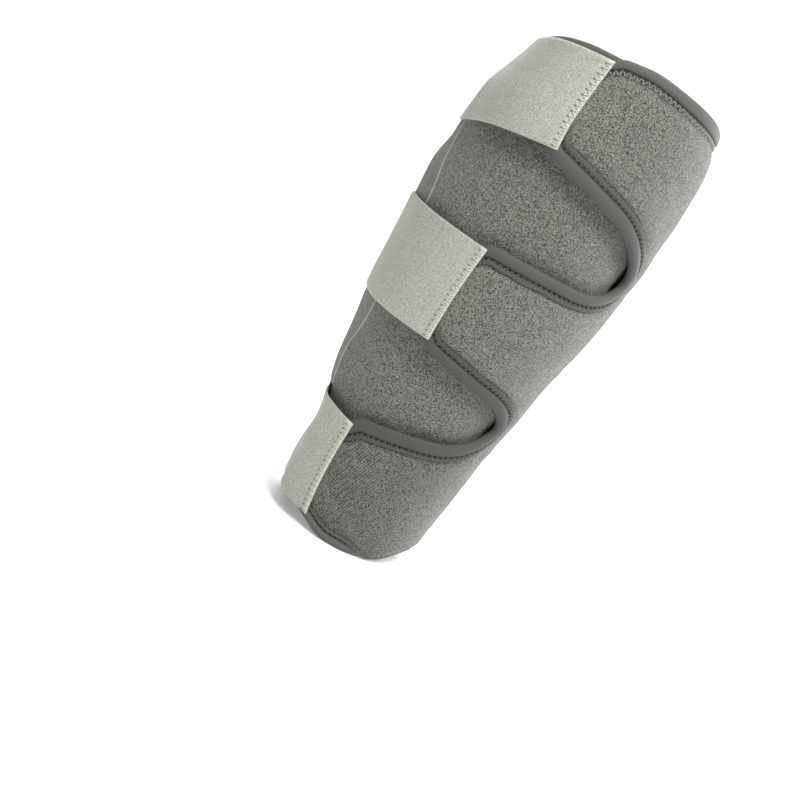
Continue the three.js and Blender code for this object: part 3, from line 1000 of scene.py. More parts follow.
def make_tab(name, tab):
    turn, height, share = tab_grid(tab)
    scale = mm_per_degree(turn, height)
    from_seam = (seam_turn(tab, share)[None, :] - turn) * scale
    width = height[:, -1:] - height[:, :1]
    from_side = np.minimum(share, 1 - share)[None, :] * width
    from_end = (turn - tab["end"]) * scale
    inside = np.minimum(np.minimum(from_side, from_seam), from_end)
    level = pressed_level(tab, turn, height, from_seam)
    level = level + END_LIFT * (1 - smooth(0, END_LIFT_LENGTH, from_end))
    thin = 1 - smooth(0, EDGE_WIDTH, inside)
    top = level + TAB - EDGE_TOP * thin
    under = level + EDGE_UNDER * thin
    columns, rows = turn.shape
    above = np.arange(columns * rows).reshape(columns, rows)
    below = above + columns * rows
    points = np.concatenate([
        surface(turn, height, top).reshape(-1, 3), surface(turn, height, under).reshape(-1, 3)
    ])
    faces = [grid_quads(above, turned=True), grid_quads(below)]
    for top_line, under_line, turned in (
        (above[:, 0], below[:, 0], False), (above[:, -1], below[:, -1], True),
        (above[0], below[0], True), (above[-1], below[-1], False),
    ):
        quads = np.stack([top_line[:-1], top_line[1:], under_line[1:], under_line[:-1]], axis=-1)
        faces.append(quads[:, ::-1] if turned else quads)
    flat = np.stack([from_seam, height], axis=-1).reshape(-1, 2)
    piece = make_piece(name, points, np.concatenate(faces), np.concatenate([flat, flat]))
    # This mask paints a highlight along the sewn end.
    add_mask(piece, "seam_edge_highlight", np.tile(1 - smooth(*SEAM_EDGE_HIGHLIGHT, from_seam).ravel(), 2))
    left_open = weld(piece)
    print(name, triangles(piece), "triangles,", left_open, "open edges")
    return piece


tabs = {name: make_tab(name.replace("tab_", "hook_tab_"), tab) for name, tab in TABS.items()}

# %% [markdown]
# Zigzag stitches hold the tape and the tabs. One node tree sews them all: it takes a guide
# line that carries two directions, across the row and out of the cloth, walks along it in
# half stitches, swings from side to side and gives the line a round thread. A second tree
# puts a small dark body at each corner of the same zigzag, whose colour is painted shade for
# the shadow in a needle hole. With no width the zigzag is a straight row, which is how the
# calf seam is sewn.

# %% Helpers for node trees
def start_tree(name, inputs):
    tree = bpy.data.node_groups.new(name, "GeometryNodeTree")
    tree.interface.new_socket("Geometry", in_out="INPUT", socket_type="NodeSocketGeometry")
    for label, kind in inputs:
        tree.interface.new_socket(label, in_out="INPUT", socket_type=kind)
    tree.interface.new_socket("Geometry", in_out="OUTPUT", socket_type="NodeSocketGeometry")
    return tree, tree.nodes.new("NodeGroupInput"), tree.nodes.new("NodeGroupOutput")


def node(tree, kind, inputs=(), **settings):
    made = tree.nodes.new(kind)
    for key, value in settings.items():
        setattr(made, key, value)
    for socket, value in dict(inputs).items():
        if isinstance(value, bpy.types.NodeSocket):
            tree.links.new(value, made.inputs[socket])
        else:
            made.inputs[socket].default_value = value
    return made


def math_node(tree, operation, *values):
    return node(tree, "ShaderNodeMath", dict(enumerate(values)), operation=operation).outputs[0]


def scaled(tree, vector, factor):
    made = node(tree, "ShaderNodeVectorMath", {0: vector, "Scale": factor}, operation="SCALE")
    return made.outputs[0]


def attribute(tree, name):
    kind = "GeometryNodeInputNamedAttribute"
    return node(tree, kind, {"Name": name}, data_type="FLOAT_VECTOR").outputs["Attribute"]


# %% The zigzag that both trees share
def zigzag_line(tree, inputs):
    """The guide line, resampled at half stitches and swung from side to side."""
    curve = node(tree, "GeometryNodeMeshToCurve", {"Mesh": inputs.outputs["Geometry"]})
    half = math_node(tree, "MULTIPLY", inputs.outputs["Stitch"], 0.5)
    steps = {"Curve": curve.outputs[0], "Length": half}
    walk = node(tree, "GeometryNodeResampleCurve", steps, mode="LENGTH")
    index = node(tree, "GeometryNodeInputIndex").outputs[0]
    swing = math_node(tree, "MULTIPLY", index, math.pi / 2)
    side = math_node(tree, "COSINE", swing)
    middle = math_node(tree, "ABSOLUTE", math_node(tree, "SINE", swing))
    half_side = math_node(tree, "MULTIPLY", side, 0.5)
    sideways = math_node(tree, "MULTIPLY", half_side, inputs.outputs["Width"])
    other_half = math_node(tree, "MULTIPLY", side, -0.5)
    drop = math_node(tree, "MULTIPLY", other_half, inputs.outputs["Step down"])
    rise = math_node(tree, "MULTIPLY_ADD", middle, inputs.outputs["Arch"], drop)
    parts = {
        0: scaled(tree, attribute(tree, "across"), sideways),
        1: scaled(tree, attribute(tree, "outward"), rise),
    }
    move = node(tree, "ShaderNodeVectorMath", parts, operation="ADD")
    spread = {"Geometry": walk.outputs[0], "Offset": move.outputs[0]}
    return node(tree, "GeometryNodeSetPosition", spread).outputs[0], side


ZIGZAG_INPUTS = [
    (label, "NodeSocketFloat") for label in ("Stitch", "Width", "Step down", "Arch")
]


def finish_tree(tree, geometry, inputs, outputs):
    soft = node(tree, "GeometryNodeSetShadeSmooth", {"Geometry": geometry})
    whole = node(tree, "GeometryNodeRealizeInstances", {"Geometry": soft.outputs[0]})
    cloth = {"Geometry": whole.outputs[0], "Material": inputs.outputs["Material"]}
    dressed = node(tree, "GeometryNodeSetMaterial", cloth)
    tree.links.new(dressed.outputs[0], outputs.inputs[0])
    return tree


# %% A tree for the thread
THREAD_SMOOTHNESS, THREAD_SIDES = 3, 6


def thread_tree():
    tree, inputs, outputs = start_tree("zigzag_thread", ZIGZAG_INPUTS + [
        ("Thread radius", "NodeSocketFloat"), ("Material", "NodeSocketMaterial"),
    ])
    line, _ = zigzag_line(tree, inputs)
    bent = node(tree, "GeometryNodeCurveSplineType", {"Curve": line}, spline_type="CATMULL_ROM")
    smoothness = {"Geometry": bent.outputs[0], "Resolution": THREAD_SMOOTHNESS}
    fine = node(tree, "GeometryNodeSetSplineResolution", smoothness)
    round_thread = {"Resolution": THREAD_SIDES, "Radius": inputs.outputs["Thread radius"]}
    ring = node(tree, "GeometryNodeCurvePrimitiveCircle", round_thread)
    sweep = {"Curve": fine.outputs[0], "Profile Curve": ring.outputs[0], "Fill Caps": True}
    tube = node(tree, "GeometryNodeCurveToMesh", sweep)
    return finish_tree(tree, tube.outputs[0], inputs, outputs)


THREAD_TREE = thread_tree()
print("tree", THREAD_TREE.name, "of", len(THREAD_TREE.nodes), "nodes")

# %% A tree for the needle holes' painted shade
HOLE_DEPTH_SHARE = 0.6
CORNER_REACH = 0.2


def needle_tree():
    tree, inputs, outputs = start_tree("needle_hole_shades", ZIGZAG_INPUTS + [
        ("Hole width", "NodeSocketFloat"), ("Hole length", "NodeSocketFloat"),
        ("Least side", "NodeSocketFloat"), ("Material", "NodeSocketMaterial"),
    ])
    line, side = zigzag_line(tree, inputs)
    corner = math_node(tree, "COMPARE", math_node(tree, "ABSOLUTE", side), 1.0, CORNER_REACH)
    wanted = math_node(tree, "GREATER_THAN", side, inputs.outputs["Least side"])
    chosen = math_node(tree, "MULTIPLY", corner, wanted)
    dot = node(tree, "GeometryNodeMeshUVSphere", {"Segments": 8, "Rings": 4, "Radius": 0.5})
    align = "FunctionNodeAlignRotationToVector"
    up = node(tree, align, {"Vector": attribute(tree, "outward")}, axis="Z")
    beside = {"Rotation": up.outputs[0], "Vector": attribute(tree, "across")}
    turn = node(tree, align, beside, axis="X", pivot_axis="Z")
    wide = inputs.outputs["Hole width"]
    deep = math_node(tree, "MULTIPLY", wide, HOLE_DEPTH_SHARE)
    sizes = {"X": inputs.outputs["Hole length"], "Y": wide, "Z": deep}
    dots = node(tree, "GeometryNodeInstanceOnPoints", {
        "Points": line, "Instance": dot.outputs[0], "Selection": chosen,
        "Rotation": turn.outputs[0],
        "Scale": node(tree, "ShaderNodeCombineXYZ", sizes).outputs[0],
    })
    return finish_tree(tree, dots.outputs[0], inputs, outputs)


NEEDLE_TREE = needle_tree()
print("tree", NEEDLE_TREE.name, "of", len(NEEDLE_TREE.nodes), "nodes")

# %% [markdown]
# A guide line is a mesh of points and edges only. Its two directions are stored on the
# points as attributes, which the node tree reads by name and carries on to its finer points.
# The rows lie a hair proud of the cloth, on the tapes, the tabs and the calf seam.

# %% Guide lines and sewing
def guide_mesh(name, rows):
    """A mesh of lines from rows of places, directions across and directions outward."""
    points, edges, across, outward = [], [], [], []
    for place, sideways, out in rows:
        first = len(points)
        points += [tuple(p) for p in place]
        across += list(sideways)
        outward += list(out)
        edges += [(first + i, first + i + 1) for i in range(len(place) - 1)]
    mesh = bpy.data.meshes.new(name)
    mesh.from_pydata(points, edges, [])
    for label, values in (("across", across), ("outward", outward)):
        layer = mesh.attributes.new(label, "FLOAT_VECTOR", "POINT")
        layer.data.foreach_set("vector", np.array(values, np.float32).ravel())
    return mesh


def sew(name, guide, tree, values):
    """Runs a stitch tree on a guide line and keeps the result as a plain mesh piece."""
    piece = bpy.data.objects.new(name, guide)
    bpy.context.collection.objects.link(piece)
    modifier = piece.modifiers.new("stitches", "NODES")
    modifier.node_group = tree
    for socket in tree.interface.items_tree:
        if socket.in_out == "INPUT" and socket.name in values:
            modifier[socket.identifier] = values[socket.name]
    shown = piece.evaluated_get(bpy.context.evaluated_depsgraph_get())
    sewn = bpy.data.meshes.new_from_object(shown)
    piece.modifiers.clear()
    piece.data = sewn
    sewn.name = name
    print(name, triangles(piece), "triangles")
    return piece


# %% Rows on the tapes, the tabs and the calf seam
ROW_PROUD, ROW_PROUD_INSIDE, TAB_ROW_PROUD = 0.12, 0.1, 0.15
ROW_A = GROOVE_LOW + ROW_PROUD
ROW_B = SHEET - PINCH - PINCH_LINE + ROW_PROUD
ROW_INSIDE = TAPE_UNDER + ROW_PROUD_INSIDE
WIDE_ENOUGH = 0.8
SEAM_INSET = 1.2
TAB_ROW_SHARES, TAB_ROW_POINTS = (0.02, 0.98), 60
CALF_THREAD_HEIGHTS, CALF_ROW_POINTS = (72, 258), 120


def tape_row(label, path, inside_face=False):
    """One stitch row along a tape's flap, on its outer or its inner face."""
    grooves, widths = row_shape(label, path[:, 0], np.linspace(0, 1, len(path)))
    reach = (grooves + widths / 2)[:, None]
    turn, height = tape_spots(path, reach)
    beyond_turn, beyond_height = tape_spots(path, reach + 1)
    base = stand_off(turn) + ripple(turn, height)
    level = base + (ROW_INSIDE if inside_face else (ROW_A + ROW_B) / 2)
    place = surface(turn, height, level)[:, 0]
    across = unit(surface(beyond_turn, beyond_height, level)[:, 0] - place)
    out = outward_at(turn, height)[:, 0] * (-1 if inside_face else 1)
    shown = widths > WIDE_ENOUGH * ROWS[label]["width"]
    runs = np.split(np.arange(len(path)), np.flatnonzero(np.diff(shown)) + 1)
    return [(place[run], across[run], out[run]) for run in runs if shown[run[0]]]


def tab_row(tab):
    """The stitch row along a tab's sewn end."""
    share = np.linspace(*TAB_ROW_SHARES, TAB_ROW_POINTS)
    height = tab["low"] + (tab["high"] - tab["low"]) * share
    edge = seam_turn(tab, share)
    turn = edge - SEAM_INSET / mm_per_degree(edge, height)
    level = pressed_level(tab, turn, height, SEAM_INSET) + TAB + TAB_ROW_PROUD
    place = surface(turn, height, level)
    across = unit(surface(turn - 1, height, level) - place)
    return [(place, across, outward_at(turn, height))]


def calf_row():
    """The straight row down the calf seam, half sunk in its ridge."""
    height = np.linspace(*CALF_THREAD_HEIGHTS, CALF_ROW_POINTS)
    turn = calf_seam(height) + 360
    level = SHEET + ripple(turn, height) + CALF_SEAM_HEIGHT
    for number, strip in enumerate(STRIPS):
        here = (height >= strip["low"](turn)) & (height < strip["high"](turn))
        level[here] += puffed(number, turn[here], height[here])
    place = surface(turn, height, level)
    across = unit(surface(turn + 1, height, level) - place)
    return [(place, across, outward_at(turn, height))]


print("guide rows for", len(TAPE_PATHS), "tapes,", len(TABS), "tabs and the calf seam")

# %% [markdown]
# The loop cloth is a heather: light and dark fibres mixed before the yarn is spun, so its
# grain has no direction. Two noises of different size and a random value for each tuft make
# one shared node group, and each cloth sets its own grain size and how far the shades spread.
# A second group is a fine weave: crossed waves for a regular cloth, and stretched noise for
# the short dashes of a brushed one.

# %% A heather group
def shader_group(name, inputs, outputs):
    tree = bpy.data.node_groups.new(name, "ShaderNodeTree")
    for label, kind, value in inputs:
        socket = tree.interface.new_socket(label, in_out="INPUT", socket_type=kind)
        if value is not None:
            socket.default_value = value
    for label in outputs:
        tree.interface.new_socket(label, in_out="OUTPUT", socket_type="NodeSocketFloat")
    return tree, tree.nodes.new("NodeGroupInput"), tree.nodes.new("NodeGroupOutput")


FIBRE_WEIGHT, TUFT_WEIGHT, CLUMP_WEIGHT = 2.4, 0.5, 0.25
CLUMP_SIZE, TUFT_SIZE = 0.28, 0.8
TUFT_RISE = 0.4


def heather_group():
    tree, inputs, outputs = shader_group("heather_grain", [
        ("Place", "NodeSocketVector", None), ("Grain", "NodeSocketFloat", 900.0),
        ("Spread", "NodeSocketFloat", 1.0),
    ], ["Shade", "Height"])
    fibre = node(tree, "ShaderNodeTexNoise", {"Detail": 2.0, "Roughness": 0.65})
    clump = node(tree, "ShaderNodeTexNoise", {"Detail": 1.0, "Roughness": 0.5})
    tuft = node(tree, "ShaderNodeTexVoronoi", {"Randomness": 1.0})
    for made, share in ((fibre, 1.0), (clump, CLUMP_SIZE), (tuft, TUFT_SIZE)):
        size = math_node(tree, "MULTIPLY", inputs.outputs["Grain"], share)
        tree.links.new(inputs.outputs["Place"], made.inputs["Vector"])
        tree.links.new(size, made.inputs["Scale"])
    lot = node(tree, "ShaderNodeSeparateColor", {"Color": tuft.outputs["Color"]}).outputs[0]
    off_middle = math_node(tree, "SUBTRACT", fibre.outputs[0], 0.5)
    mixed = math_node(tree, "MULTIPLY", off_middle, FIBRE_WEIGHT)
    for source, weight in ((lot, TUFT_WEIGHT), (clump.outputs[0], CLUMP_WEIGHT)):
        off_middle = math_node(tree, "SUBTRACT", source, 0.5)
        mixed = math_node(tree, "MULTIPLY_ADD", off_middle, weight, mixed)
    shade = math_node(tree, "MULTIPLY_ADD", mixed, inputs.outputs["Spread"], 0.5)
    kept = node(tree, "ShaderNodeClamp", {"Value": shade})
    tree.links.new(kept.outputs[0], outputs.inputs["Shade"])
    raised = math_node(tree, "MULTIPLY_ADD", lot, TUFT_RISE, fibre.outputs[0])
    tree.links.new(raised, outputs.inputs["Height"])
    return tree


HEATHER = heather_group()
print("group", HEATHER.name, "of", len(HEATHER.nodes), "nodes")

# %% A weave group
DASH_SHARE, DASH_CONTRAST = 0.3, 2.2
WEFT_LEAN = -0.35
WEAVE_DEPTH = 0.3


def weave_group():
    tree, inputs, outputs = shader_group("fine_weave", [
        ("Place", "NodeSocketVector", None), ("Pitch", "NodeSocketFloat", 0.0012),
        ("Lean", "NodeSocketFloat", 0.5),
    ], ["Pattern", "Dashes"])
    split = node(tree, "ShaderNodeSeparateXYZ", {"Vector": inputs.outputs["Place"]})
    rate = math_node(tree, "DIVIDE", 2 * math.pi, inputs.outputs["Pitch"])
    along, up = split.outputs["X"], split.outputs["Y"]
    leaning = math_node(tree, "MULTIPLY_ADD", up, inputs.outputs["Lean"], along)
    warp = math_node(tree, "SINE", math_node(tree, "MULTIPLY", leaning, rate))
    weft_at = math_node(tree, "MULTIPLY_ADD", along, WEFT_LEAN, up)
    weft = math_node(tree, "SINE", math_node(tree, "MULTIPLY", weft_at, rate))
    both = math_node(tree, "MULTIPLY_ADD", math_node(tree, "MULTIPLY", warp, weft), 0.5, warp)
    pattern = math_node(tree, "MULTIPLY_ADD", both, WEAVE_DEPTH, 0.5)
    tree.links.new(pattern, outputs.inputs["Pattern"])
    long_way = math_node(tree, "MULTIPLY", up, DASH_SHARE)
    spot = node(tree, "ShaderNodeCombineXYZ", {
        "X": math_node(tree, "DIVIDE", leaning, inputs.outputs["Pitch"]),
        "Y": math_node(tree, "DIVIDE", long_way, inputs.outputs["Pitch"]),
    })
    noise = {"Vector": spot.outputs[0], "Scale": 1.0, "Detail": 0.0}
    streak = node(tree, "ShaderNodeTexNoise", noise)
    off_middle = math_node(tree, "SUBTRACT", streak.outputs[0], 0.5)
    dashes = math_node(tree, "MULTIPLY_ADD", off_middle, DASH_CONTRAST, 0.5)
    tree.links.new(dashes, outputs.inputs["Dashes"])
    return tree


WEAVE = weave_group()
print("group", WEAVE.name, "of", len(WEAVE.nodes), "nodes")

# %% [markdown]
# A cloth material mixes two shades by its grain, and the same grain feeds a bump, so light
# and dark fibres also stand high and low. Sheen is the glow of loose fibres at a grazing
# angle. It is the same all over, so it is set on the shader itself. The masks on the points
# then paint shade into a crease and beside each pressed row, paint a highlight on the calf
# seam's line, and bring out the ribs.

# %% Helpers for cloth materials
def grey(level, yellow=0.12):
    """A grey with a little less blue in it, as undyed fibres give."""
    return (level, level, level * (1 - yellow), 1.0)


def start_material(name, sheen, sheen_roughness=0.5, specular=0.2):
    material = bpy.data.materials.new(name)
    material.use_nodes = True
    tree = material.node_tree
    shader = tree.nodes["Principled BSDF"]
    shader.inputs["Sheen Weight"].default_value = sheen
    shader.inputs["Sheen Roughness"].default_value = sheen_roughness
    shader.inputs["Specular IOR Level"].default_value = specular
    return material, tree, shader


def grain_of(tree, grain, spread):
    """The heather group, laid on the piece's own coordinates."""
    place = node(tree, "ShaderNodeTexCoord").outputs["Object"]
    values = {"Place": place, "Grain": grain, "Spread": spread}
    return node(tree, "ShaderNodeGroup", values, node_tree=HEATHER)


def weave_of(tree, pitch, lean):
    """The weave group, laid on the piece's unrolled map."""
    place = node(tree, "ShaderNodeTexCoord").outputs["UV"]
    values = {"Place": place, "Pitch": pitch, "Lean": lean}
    return node(tree, "ShaderNodeGroup", values, node_tree=WEAVE)


def mix_colours(tree, factor, first, second):
    values = {0: factor, 6: first, 7: second}
    return node(tree, "ShaderNodeMix", values, data_type="RGBA").outputs[2]


def finish_surface(tree, shader, colour, wear, rough_range):
    """Links a colour, and a roughness that runs over a range as the cloth varies."""
    rough = math_node(tree, "MULTIPLY_ADD", wear, *rough_range)
    tree.links.new(colour, shader.inputs["Base Color"])
    tree.links.new(rough, shader.inputs["Roughness"])


def add_bump(tree, shader, height, strength, distance):
    bump = node(tree, "ShaderNodeBump", {"Strength": strength, "Distance": distance})
    tree.links.new(height, bump.inputs["Height"])
    tree.links.new(bump.outputs[0], shader.inputs["Normal"])


def masked(tree, name, share):
    """A share of one of the masks on the piece's points."""
    found = node(tree, "ShaderNodeAttribute", attribute_name=name).outputs["Fac"]
    return math_node(tree, "MULTIPLY", found, share)


# %% The loop cloth
LOOP_GLOSS, LOOP_ROUGH = (0.35, 0.4), (0.1, 0.86)
LOOP_GRAIN, LOOP_RIBS = (3300.0, 2.8), (0.0017, -0.4)
LOOP_BUMP = (0.7, 0.0007)
LOOP_DARK, LOOP_LIGHT = grey(0.008), grey(0.33)
LOOP_TINTS = [
    # The calf line tint is lighter, partly a painted highlight on the seam.
    ("calf_strip", 0.35, grey(0.2)), ("calf_line_and_highlight", 0.4, grey(0.3)),
    # The pressed tint is painted shade beside the rows, where the loops are also pressed flat.
    ("low_finger", 0.2, grey(0.01)), ("pressed_and_shaded", 0.4, grey(0.03)),
]
DASHES_IN_RIBS, RIBS_MIDDLE, RIB_STRENGTH = 0.4, 0.7, 0.85


def loop_cloth():
    material, tree, shader = start_material("loop_cloth", *LOOP_GLOSS)
    grain = grain_of(tree, *LOOP_GRAIN)
    ribs = weave_of(tree, *LOOP_RIBS)
    dashes, pattern = ribs.outputs["Dashes"], ribs.outputs["Pattern"]
    strokes = math_node(tree, "MULTIPLY_ADD", dashes, DASHES_IN_RIBS, pattern)
    off_middle = math_node(tree, "SUBTRACT", strokes, RIBS_MIDDLE)
    rib_push = math_node(tree, "MULTIPLY", off_middle, masked(tree, "ribbed", RIB_STRENGTH))
    shade = math_node(tree, "ADD", grain.outputs["Shade"], rib_push)
    colour = mix_colours(tree, shade, LOOP_DARK, LOOP_LIGHT)
    for name, share, tint in LOOP_TINTS:
        colour = mix_colours(tree, masked(tree, name, share), colour, tint)
    finish_surface(tree, shader, colour, grain.outputs["Height"], LOOP_ROUGH)
    height = math_node(tree, "ADD", grain.outputs["Height"], rib_push)
    add_bump(tree, shader, height, *LOOP_BUMP)
    return material


LOOP = loop_cloth()
print(LOOP.name, "of", len(LOOP.node_tree.nodes), "nodes")

# %% Woven cloths
LINING_KNIT = dict(
    gloss=(0.15,), weave=(0.0016, 0.0), grain=(1100.0, 0.35), weave_share=0.25,
    greys=(grey(0.10), grey(0.24)), rough=(0.1, 0.8), bump=("Pattern", 0.35, 0.0003),
)
# The tab's tint is a painted highlight along its sewn end.
TAB_TWILL = dict(
    gloss=(0.2, 0.4, 0.25), weave=(0.0013, 0.8), grain=(3300.0, 1.3), weave_share=0.22,
    greys=(grey(0.18), grey(0.59)), tint=("seam_edge_highlight", 0.5, grey(0.68)),
    rough=(0.15, 0.7), bump=("Pattern", 0.4, 0.0003),
)
# The tape's tint is painted shade in its groove.
TAPE_KNIT = dict(
    gloss=(0.04, 0.35, 0.25), weave=(0.0009, 0.3), grain=(1400.0, 0.3), weave_share=0.3,
    tint=("crease_shade", 0.55, grey(0.02)), rough=(0.15, 0.62), bump=("Shade", 0.3, 0.0003),
)
TAPE_GREYS, TAPE_YELLOW = (0.08, 0.17), 0.08
# Each tape's knit is painted lighter or darker by how light falls on that edge: the top edge is
# painted lit, the notch edges painted in shade.
TAPE_PAINTED_LIGHT = {
    "binding_top": 0.82, "binding_bottom": 0.9, "binding_upper_notch": 0.68,
    "binding_lower_notch": 0.6, "binding_inner_edge": 0.8,
}


def woven_cloth(name, gloss, weave, grain, weave_share, greys, rough, bump, tint=None):
    """A heather with a weave in it. One mask may tint it."""
    material, tree, shader = start_material(name, *gloss)
    pattern = weave_of(tree, *weave).outputs["Pattern"]
    push = math_node(tree, "MULTIPLY", pattern, weave_share)
    heather = grain_of(tree, *grain).outputs["Shade"]
    shade = math_node(tree, "MULTIPLY_ADD", heather, 1 - weave_share, push)
    colour = mix_colours(tree, shade, *greys)
    if tint:
        mask, share, towards = tint
        colour = mix_colours(tree, masked(tree, mask, share), colour, towards)
    finish_surface(tree, shader, colour, shade, rough)
    source, strength, distance = bump
    add_bump(tree, shader, pattern if source == "Pattern" else shade, strength, distance)
    return material


LINING = woven_cloth("lining_knit_painted_light", **LINING_KNIT)
TAB_WEAVE = woven_cloth("hook_tab_weave", **TAB_TWILL)
padded_sheet.data.materials.append(LOOP)
padded_sheet.data.materials.append(LINING)
for piece in tabs.values():
    piece.data.materials.append(TAB_WEAVE)
for label, piece in tapes.items():
    # Lit and shaded copies of one knit, one for each tape: painted light.
    greys = [grey(level * TAPE_PAINTED_LIGHT[label], TAPE_YELLOW) for level in TAPE_GREYS]
    piece.data.materials.append(woven_cloth(piece.name + "_knit_painted_light", greys=greys, **TAPE_KNIT))
print("woven:", LINING.name, TAB_WEAVE.name, "and", len(tapes), "tape knits")

# %% Threads, and painted shade for the needle holes
THREAD_GLOSS, THREAD_ROUGH = (0.1, 0.4, 0.4), (0.15, 0.45)
THREAD_GRAIN, THREAD_BUMP = (2500.0, 0.5), (0.3, 0.0001)
# The top edge's thread is the same thread as on the other tapes, painted lighter for the light it
# catches on top.
THREAD_GREYS = {
    "tape_thread": (0.1, 0.2), "top_thread_lit": (0.3, 0.5), "tab_thread": (0.5, 0.8),
    # The two needle finishes below are painted shade for the shadow inside the holes.
    "calf_thread": (0.42, 0.62), "needle_hole_shade": (0.02, 0.06), "needle_slit_shade": (0.05, 0.16),
}


def thread_finish(name, dark, light):
    material, tree, shader = start_material(name, *THREAD_GLOSS)
    grain = grain_of(tree, *THREAD_GRAIN)
    colour = mix_colours(tree, grain.outputs["Shade"], grey(dark), grey(light))
    finish_surface(tree, shader, colour, grain.outputs["Height"], THREAD_ROUGH)
    add_bump(tree, shader, grain.outputs["Height"], *THREAD_BUMP)
    return material


FINISHES = {name: thread_finish(name, *greys) for name, greys in THREAD_GREYS.items()}
print("materials:", [m.name for m in bpy.data.materials if m.users])

# %% [markdown]
# Now the rows are sewn. Tape rows run on both faces, because the needle goes through, and
# each tape row has dark dots of painted shade at its needle holes. The tab rows are wider and
# paler, with long dark needle slits on their inner side, painted shade for the shadow in each
# slit. The calf seam is one straight pale thread.

# %% Sew the tapes
THREAD = "Thread radius"
TAPE_ARCH, INSIDE_ARCH, TAPE_THREAD_RADIUS = 0.95, 0.2, 0.2
ROUND_HOLE = {"Hole width": 0.55 * MM, "Hole length": 0.55 * MM, "Least side": -2.0}
threads, holes = {}, {}
for label, path in TAPE_PATHS.items():
    stitch = dict(Stitch=STITCH_PERIOD / 2 * MM, Width=ROWS[label]["width"] * MM)
    # On the top edge the thread is painted lighter: painted light.
    thread = FINISHES["top_thread_lit" if label == "binding_top" else "tape_thread"]
    for inside_face in (False, True):
        name = label.replace("binding", "stitches") + ("_inside" if inside_face else "")
        rows = tape_row(label, path, inside_face)
        arch = {"Arch": (INSIDE_ARCH if inside_face else TAPE_ARCH) * MM}
        arch["Step down"] = (0.0 if inside_face else ROW_B - ROW_A) * MM
        values = {**stitch, **arch, THREAD: TAPE_THREAD_RADIUS * MM, "Material": thread}
        threads[name] = sew(name, guide_mesh(name, rows), THREAD_TREE, values)
    name = label.replace("binding", "needle_hole_shades")
    arch = {"Arch": 0.0, "Step down": (ROW_B - ROW_A) * MM}
    values = {**stitch, **arch, **ROUND_HOLE, "Material": FINISHES["needle_hole_shade"]}
    holes[name] = sew(name, guide_mesh(name, tape_row(label, path)), NEEDLE_TREE, values)

# %% Sew the calf seam and the tabs
CALF_STITCH = {"Stitch": 2 * MM, "Width": 0.0, "Arch": 0.0, "Step down": 0.0}
TAB_STITCH = {"Stitch": 1.5 * MM, "Arch": 0.3 * MM}
CALF_THREAD_RADIUS, TAB_THREAD_RADIUS = 0.2, 0.25
SEAM_WIDTH, SLIT_WIDTH, SLIT_LIFT = 2.4, 2.8, 0.3
LONG_HOLE = {"Hole width": 0.5 * MM, "Hole length": 2.8 * MM, "Least side": 0.0}
name = "stitches_calf_seam"
values = {**CALF_STITCH, THREAD: CALF_THREAD_RADIUS * MM, "Material": FINISHES["calf_thread"]}
threads[name] = sew(name, guide_mesh(name, calf_row()), THREAD_TREE, values)
for label, tab in TABS.items():
    name = label.replace("tab", "stitches_tab")
    rows = tab_row(tab)
    values = {**TAB_STITCH, "Width": SEAM_WIDTH * MM, "Step down": 0.0}
    values.update({THREAD: TAB_THREAD_RADIUS * MM, "Material": FINISHES["tab_thread"]})
    threads[name] = sew(name, guide_mesh(name, rows), THREAD_TREE, values)
    name = label.replace("tab", "needle_hole_shades_tab")
    values = {**TAB_STITCH, **LONG_HOLE, "Width": SLIT_WIDTH * MM}
    values.update({"Step down": -SLIT_LIFT * MM, "Material": FINISHES["needle_slit_shade"]})
    holes[name] = sew(name, guide_mesh(name, rows), NEEDLE_TREE, values)

# %% [markdown]
# The stage is a pale sweep: a floor that curves up into a wall behind, so the rolled camera
# never sees a horizon. The light is soft and comes mostly from the shin side and above.

# %% Floor and backdrop
FLOOR_FRONT, FLOOR_BACK, FLOOR_HALF = -1.6, 1.4, 2.6
BEND, BEND_STEPS, WALL_TOP = 0.6, 16, 3.4
PAPER_GRAIN, PAPER_ROUGH, PAPER_GLOW = (40.0, 0.2), (0.05, 0.85), 0.35
PAPER_GREYS = grey(0.72, 0), grey(0.76, 0)


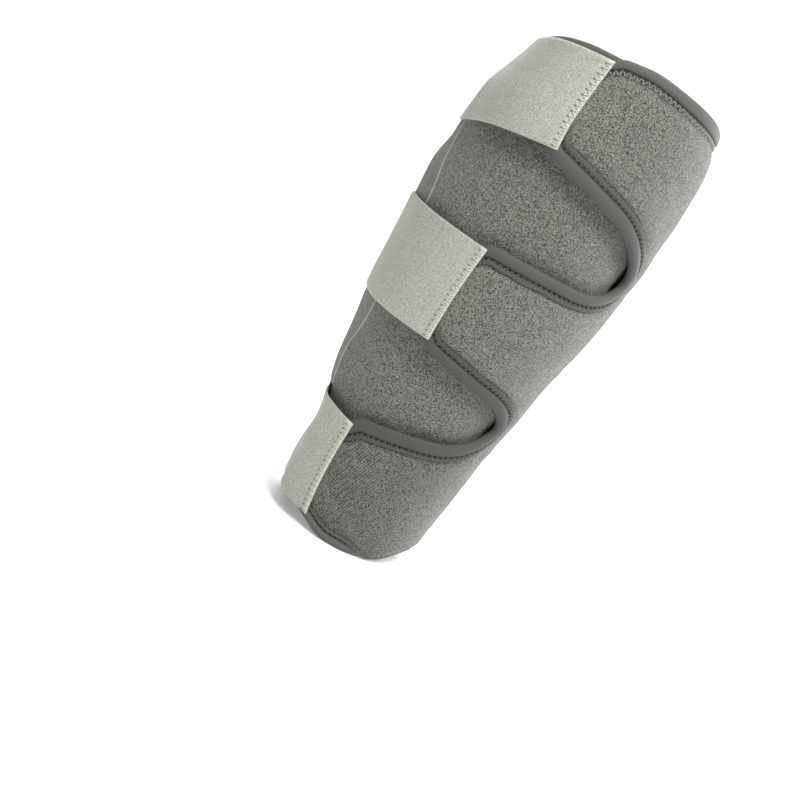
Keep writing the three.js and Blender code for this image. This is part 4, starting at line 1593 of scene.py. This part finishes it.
def make_sweep():
    angles = np.linspace(0, math.pi / 2, BEND_STEPS)
    arc = [(FLOOR_BACK + BEND * math.sin(a), BEND - BEND * math.cos(a)) for a in angles]
    line = [(FLOOR_FRONT, 0.0), (0.0, 0.0)] + arc + [(FLOOR_BACK + BEND, WALL_TOP)]
    points = [(x, y, z) for y, z in line for x in (-FLOOR_HALF, FLOOR_HALF)]
    faces = [(2 * i, 2 * i + 1, 2 * i + 3, 2 * i + 2) for i in range(len(line) - 1)]
    sweep = make_piece("sweep", points, faces)
    material, tree, shader = start_material("sweep_paper", 0.0)
    shade = grain_of(tree, *PAPER_GRAIN).outputs["Shade"]
    paper = mix_colours(tree, shade, *PAPER_GREYS)
    finish_surface(tree, shader, paper, shade, PAPER_ROUGH)
    tree.links.new(paper, shader.inputs["Emission Color"])
    shader.inputs["Emission Strength"].default_value = PAPER_GLOW
    sweep.data.materials.append(material)
    return sweep


sweep = make_sweep()
print("sweep of", len(sweep.data.polygons), "faces")


# %% Light
def add_light(name, place, target, size, power):
    data = bpy.data.lights.new(name, "AREA")
    data.size = size
    data.energy = power
    light = bpy.data.objects.new(name, data)
    light.location = place
    light.rotation_euler = (Vector(target) - Vector(place)).to_track_quat("-Z", "Y").to_euler()
    bpy.context.collection.objects.link(light)


MIDDLE, WALL_FOOT = (0.0, 0.0, 0.15), (0.0, 1.7, 0.3)
LIGHTS = {
    "key": dict(place=(0.42, -0.66, 1.35), target=MIDDLE, size=0.7, power=25),
    "fill": dict(place=(-0.7, -0.8, 1.35), target=MIDDLE, size=0.9, power=6),
    "rim": dict(place=(1.0, 0.75, 0.4), target=MIDDLE, size=0.9, power=18),
    "backdrop": dict(place=(0.0, 0.9, 2.2), target=WALL_FOOT, size=1.2, power=40),
}
WORLD_LIGHT = 0.12
for name, values in LIGHTS.items():
    add_light(name, **values)
world = bpy.data.worlds.new("studio")
world.use_nodes = True
sky = world.node_tree.nodes["Background"]
sky.inputs["Color"].default_value = (1, 1, 1, 1)
sky.inputs["Strength"].default_value = WORLD_LIGHT
bpy.context.scene.world = world
bpy.context.scene.view_settings.view_transform = "Standard"
print("lights:", list(LIGHTS))

# %% [markdown]
# Last, every piece is tied to the frame. The wrap has no joints, so all of it rides on the
# root. The sheet, tapes and tabs stand for their solids, which are hidden. The sheet is
# padded, the tapes are folded and the tabs are laid on it.

# %% Tie the pieces to the frame
everything = [padded_sheet, *tapes.values(), *tabs.values(), *threads.values(), *holes.values()]
for piece in everything:
    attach(piece, "root")
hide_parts("body_wrap")
for label, piece in tapes.items():
    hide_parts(label)
for label, piece in tabs.items():
    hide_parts(label)

# %% Measure the whole and finish
print("whole object:", sum(triangles(piece) for piece in everything), "triangles")
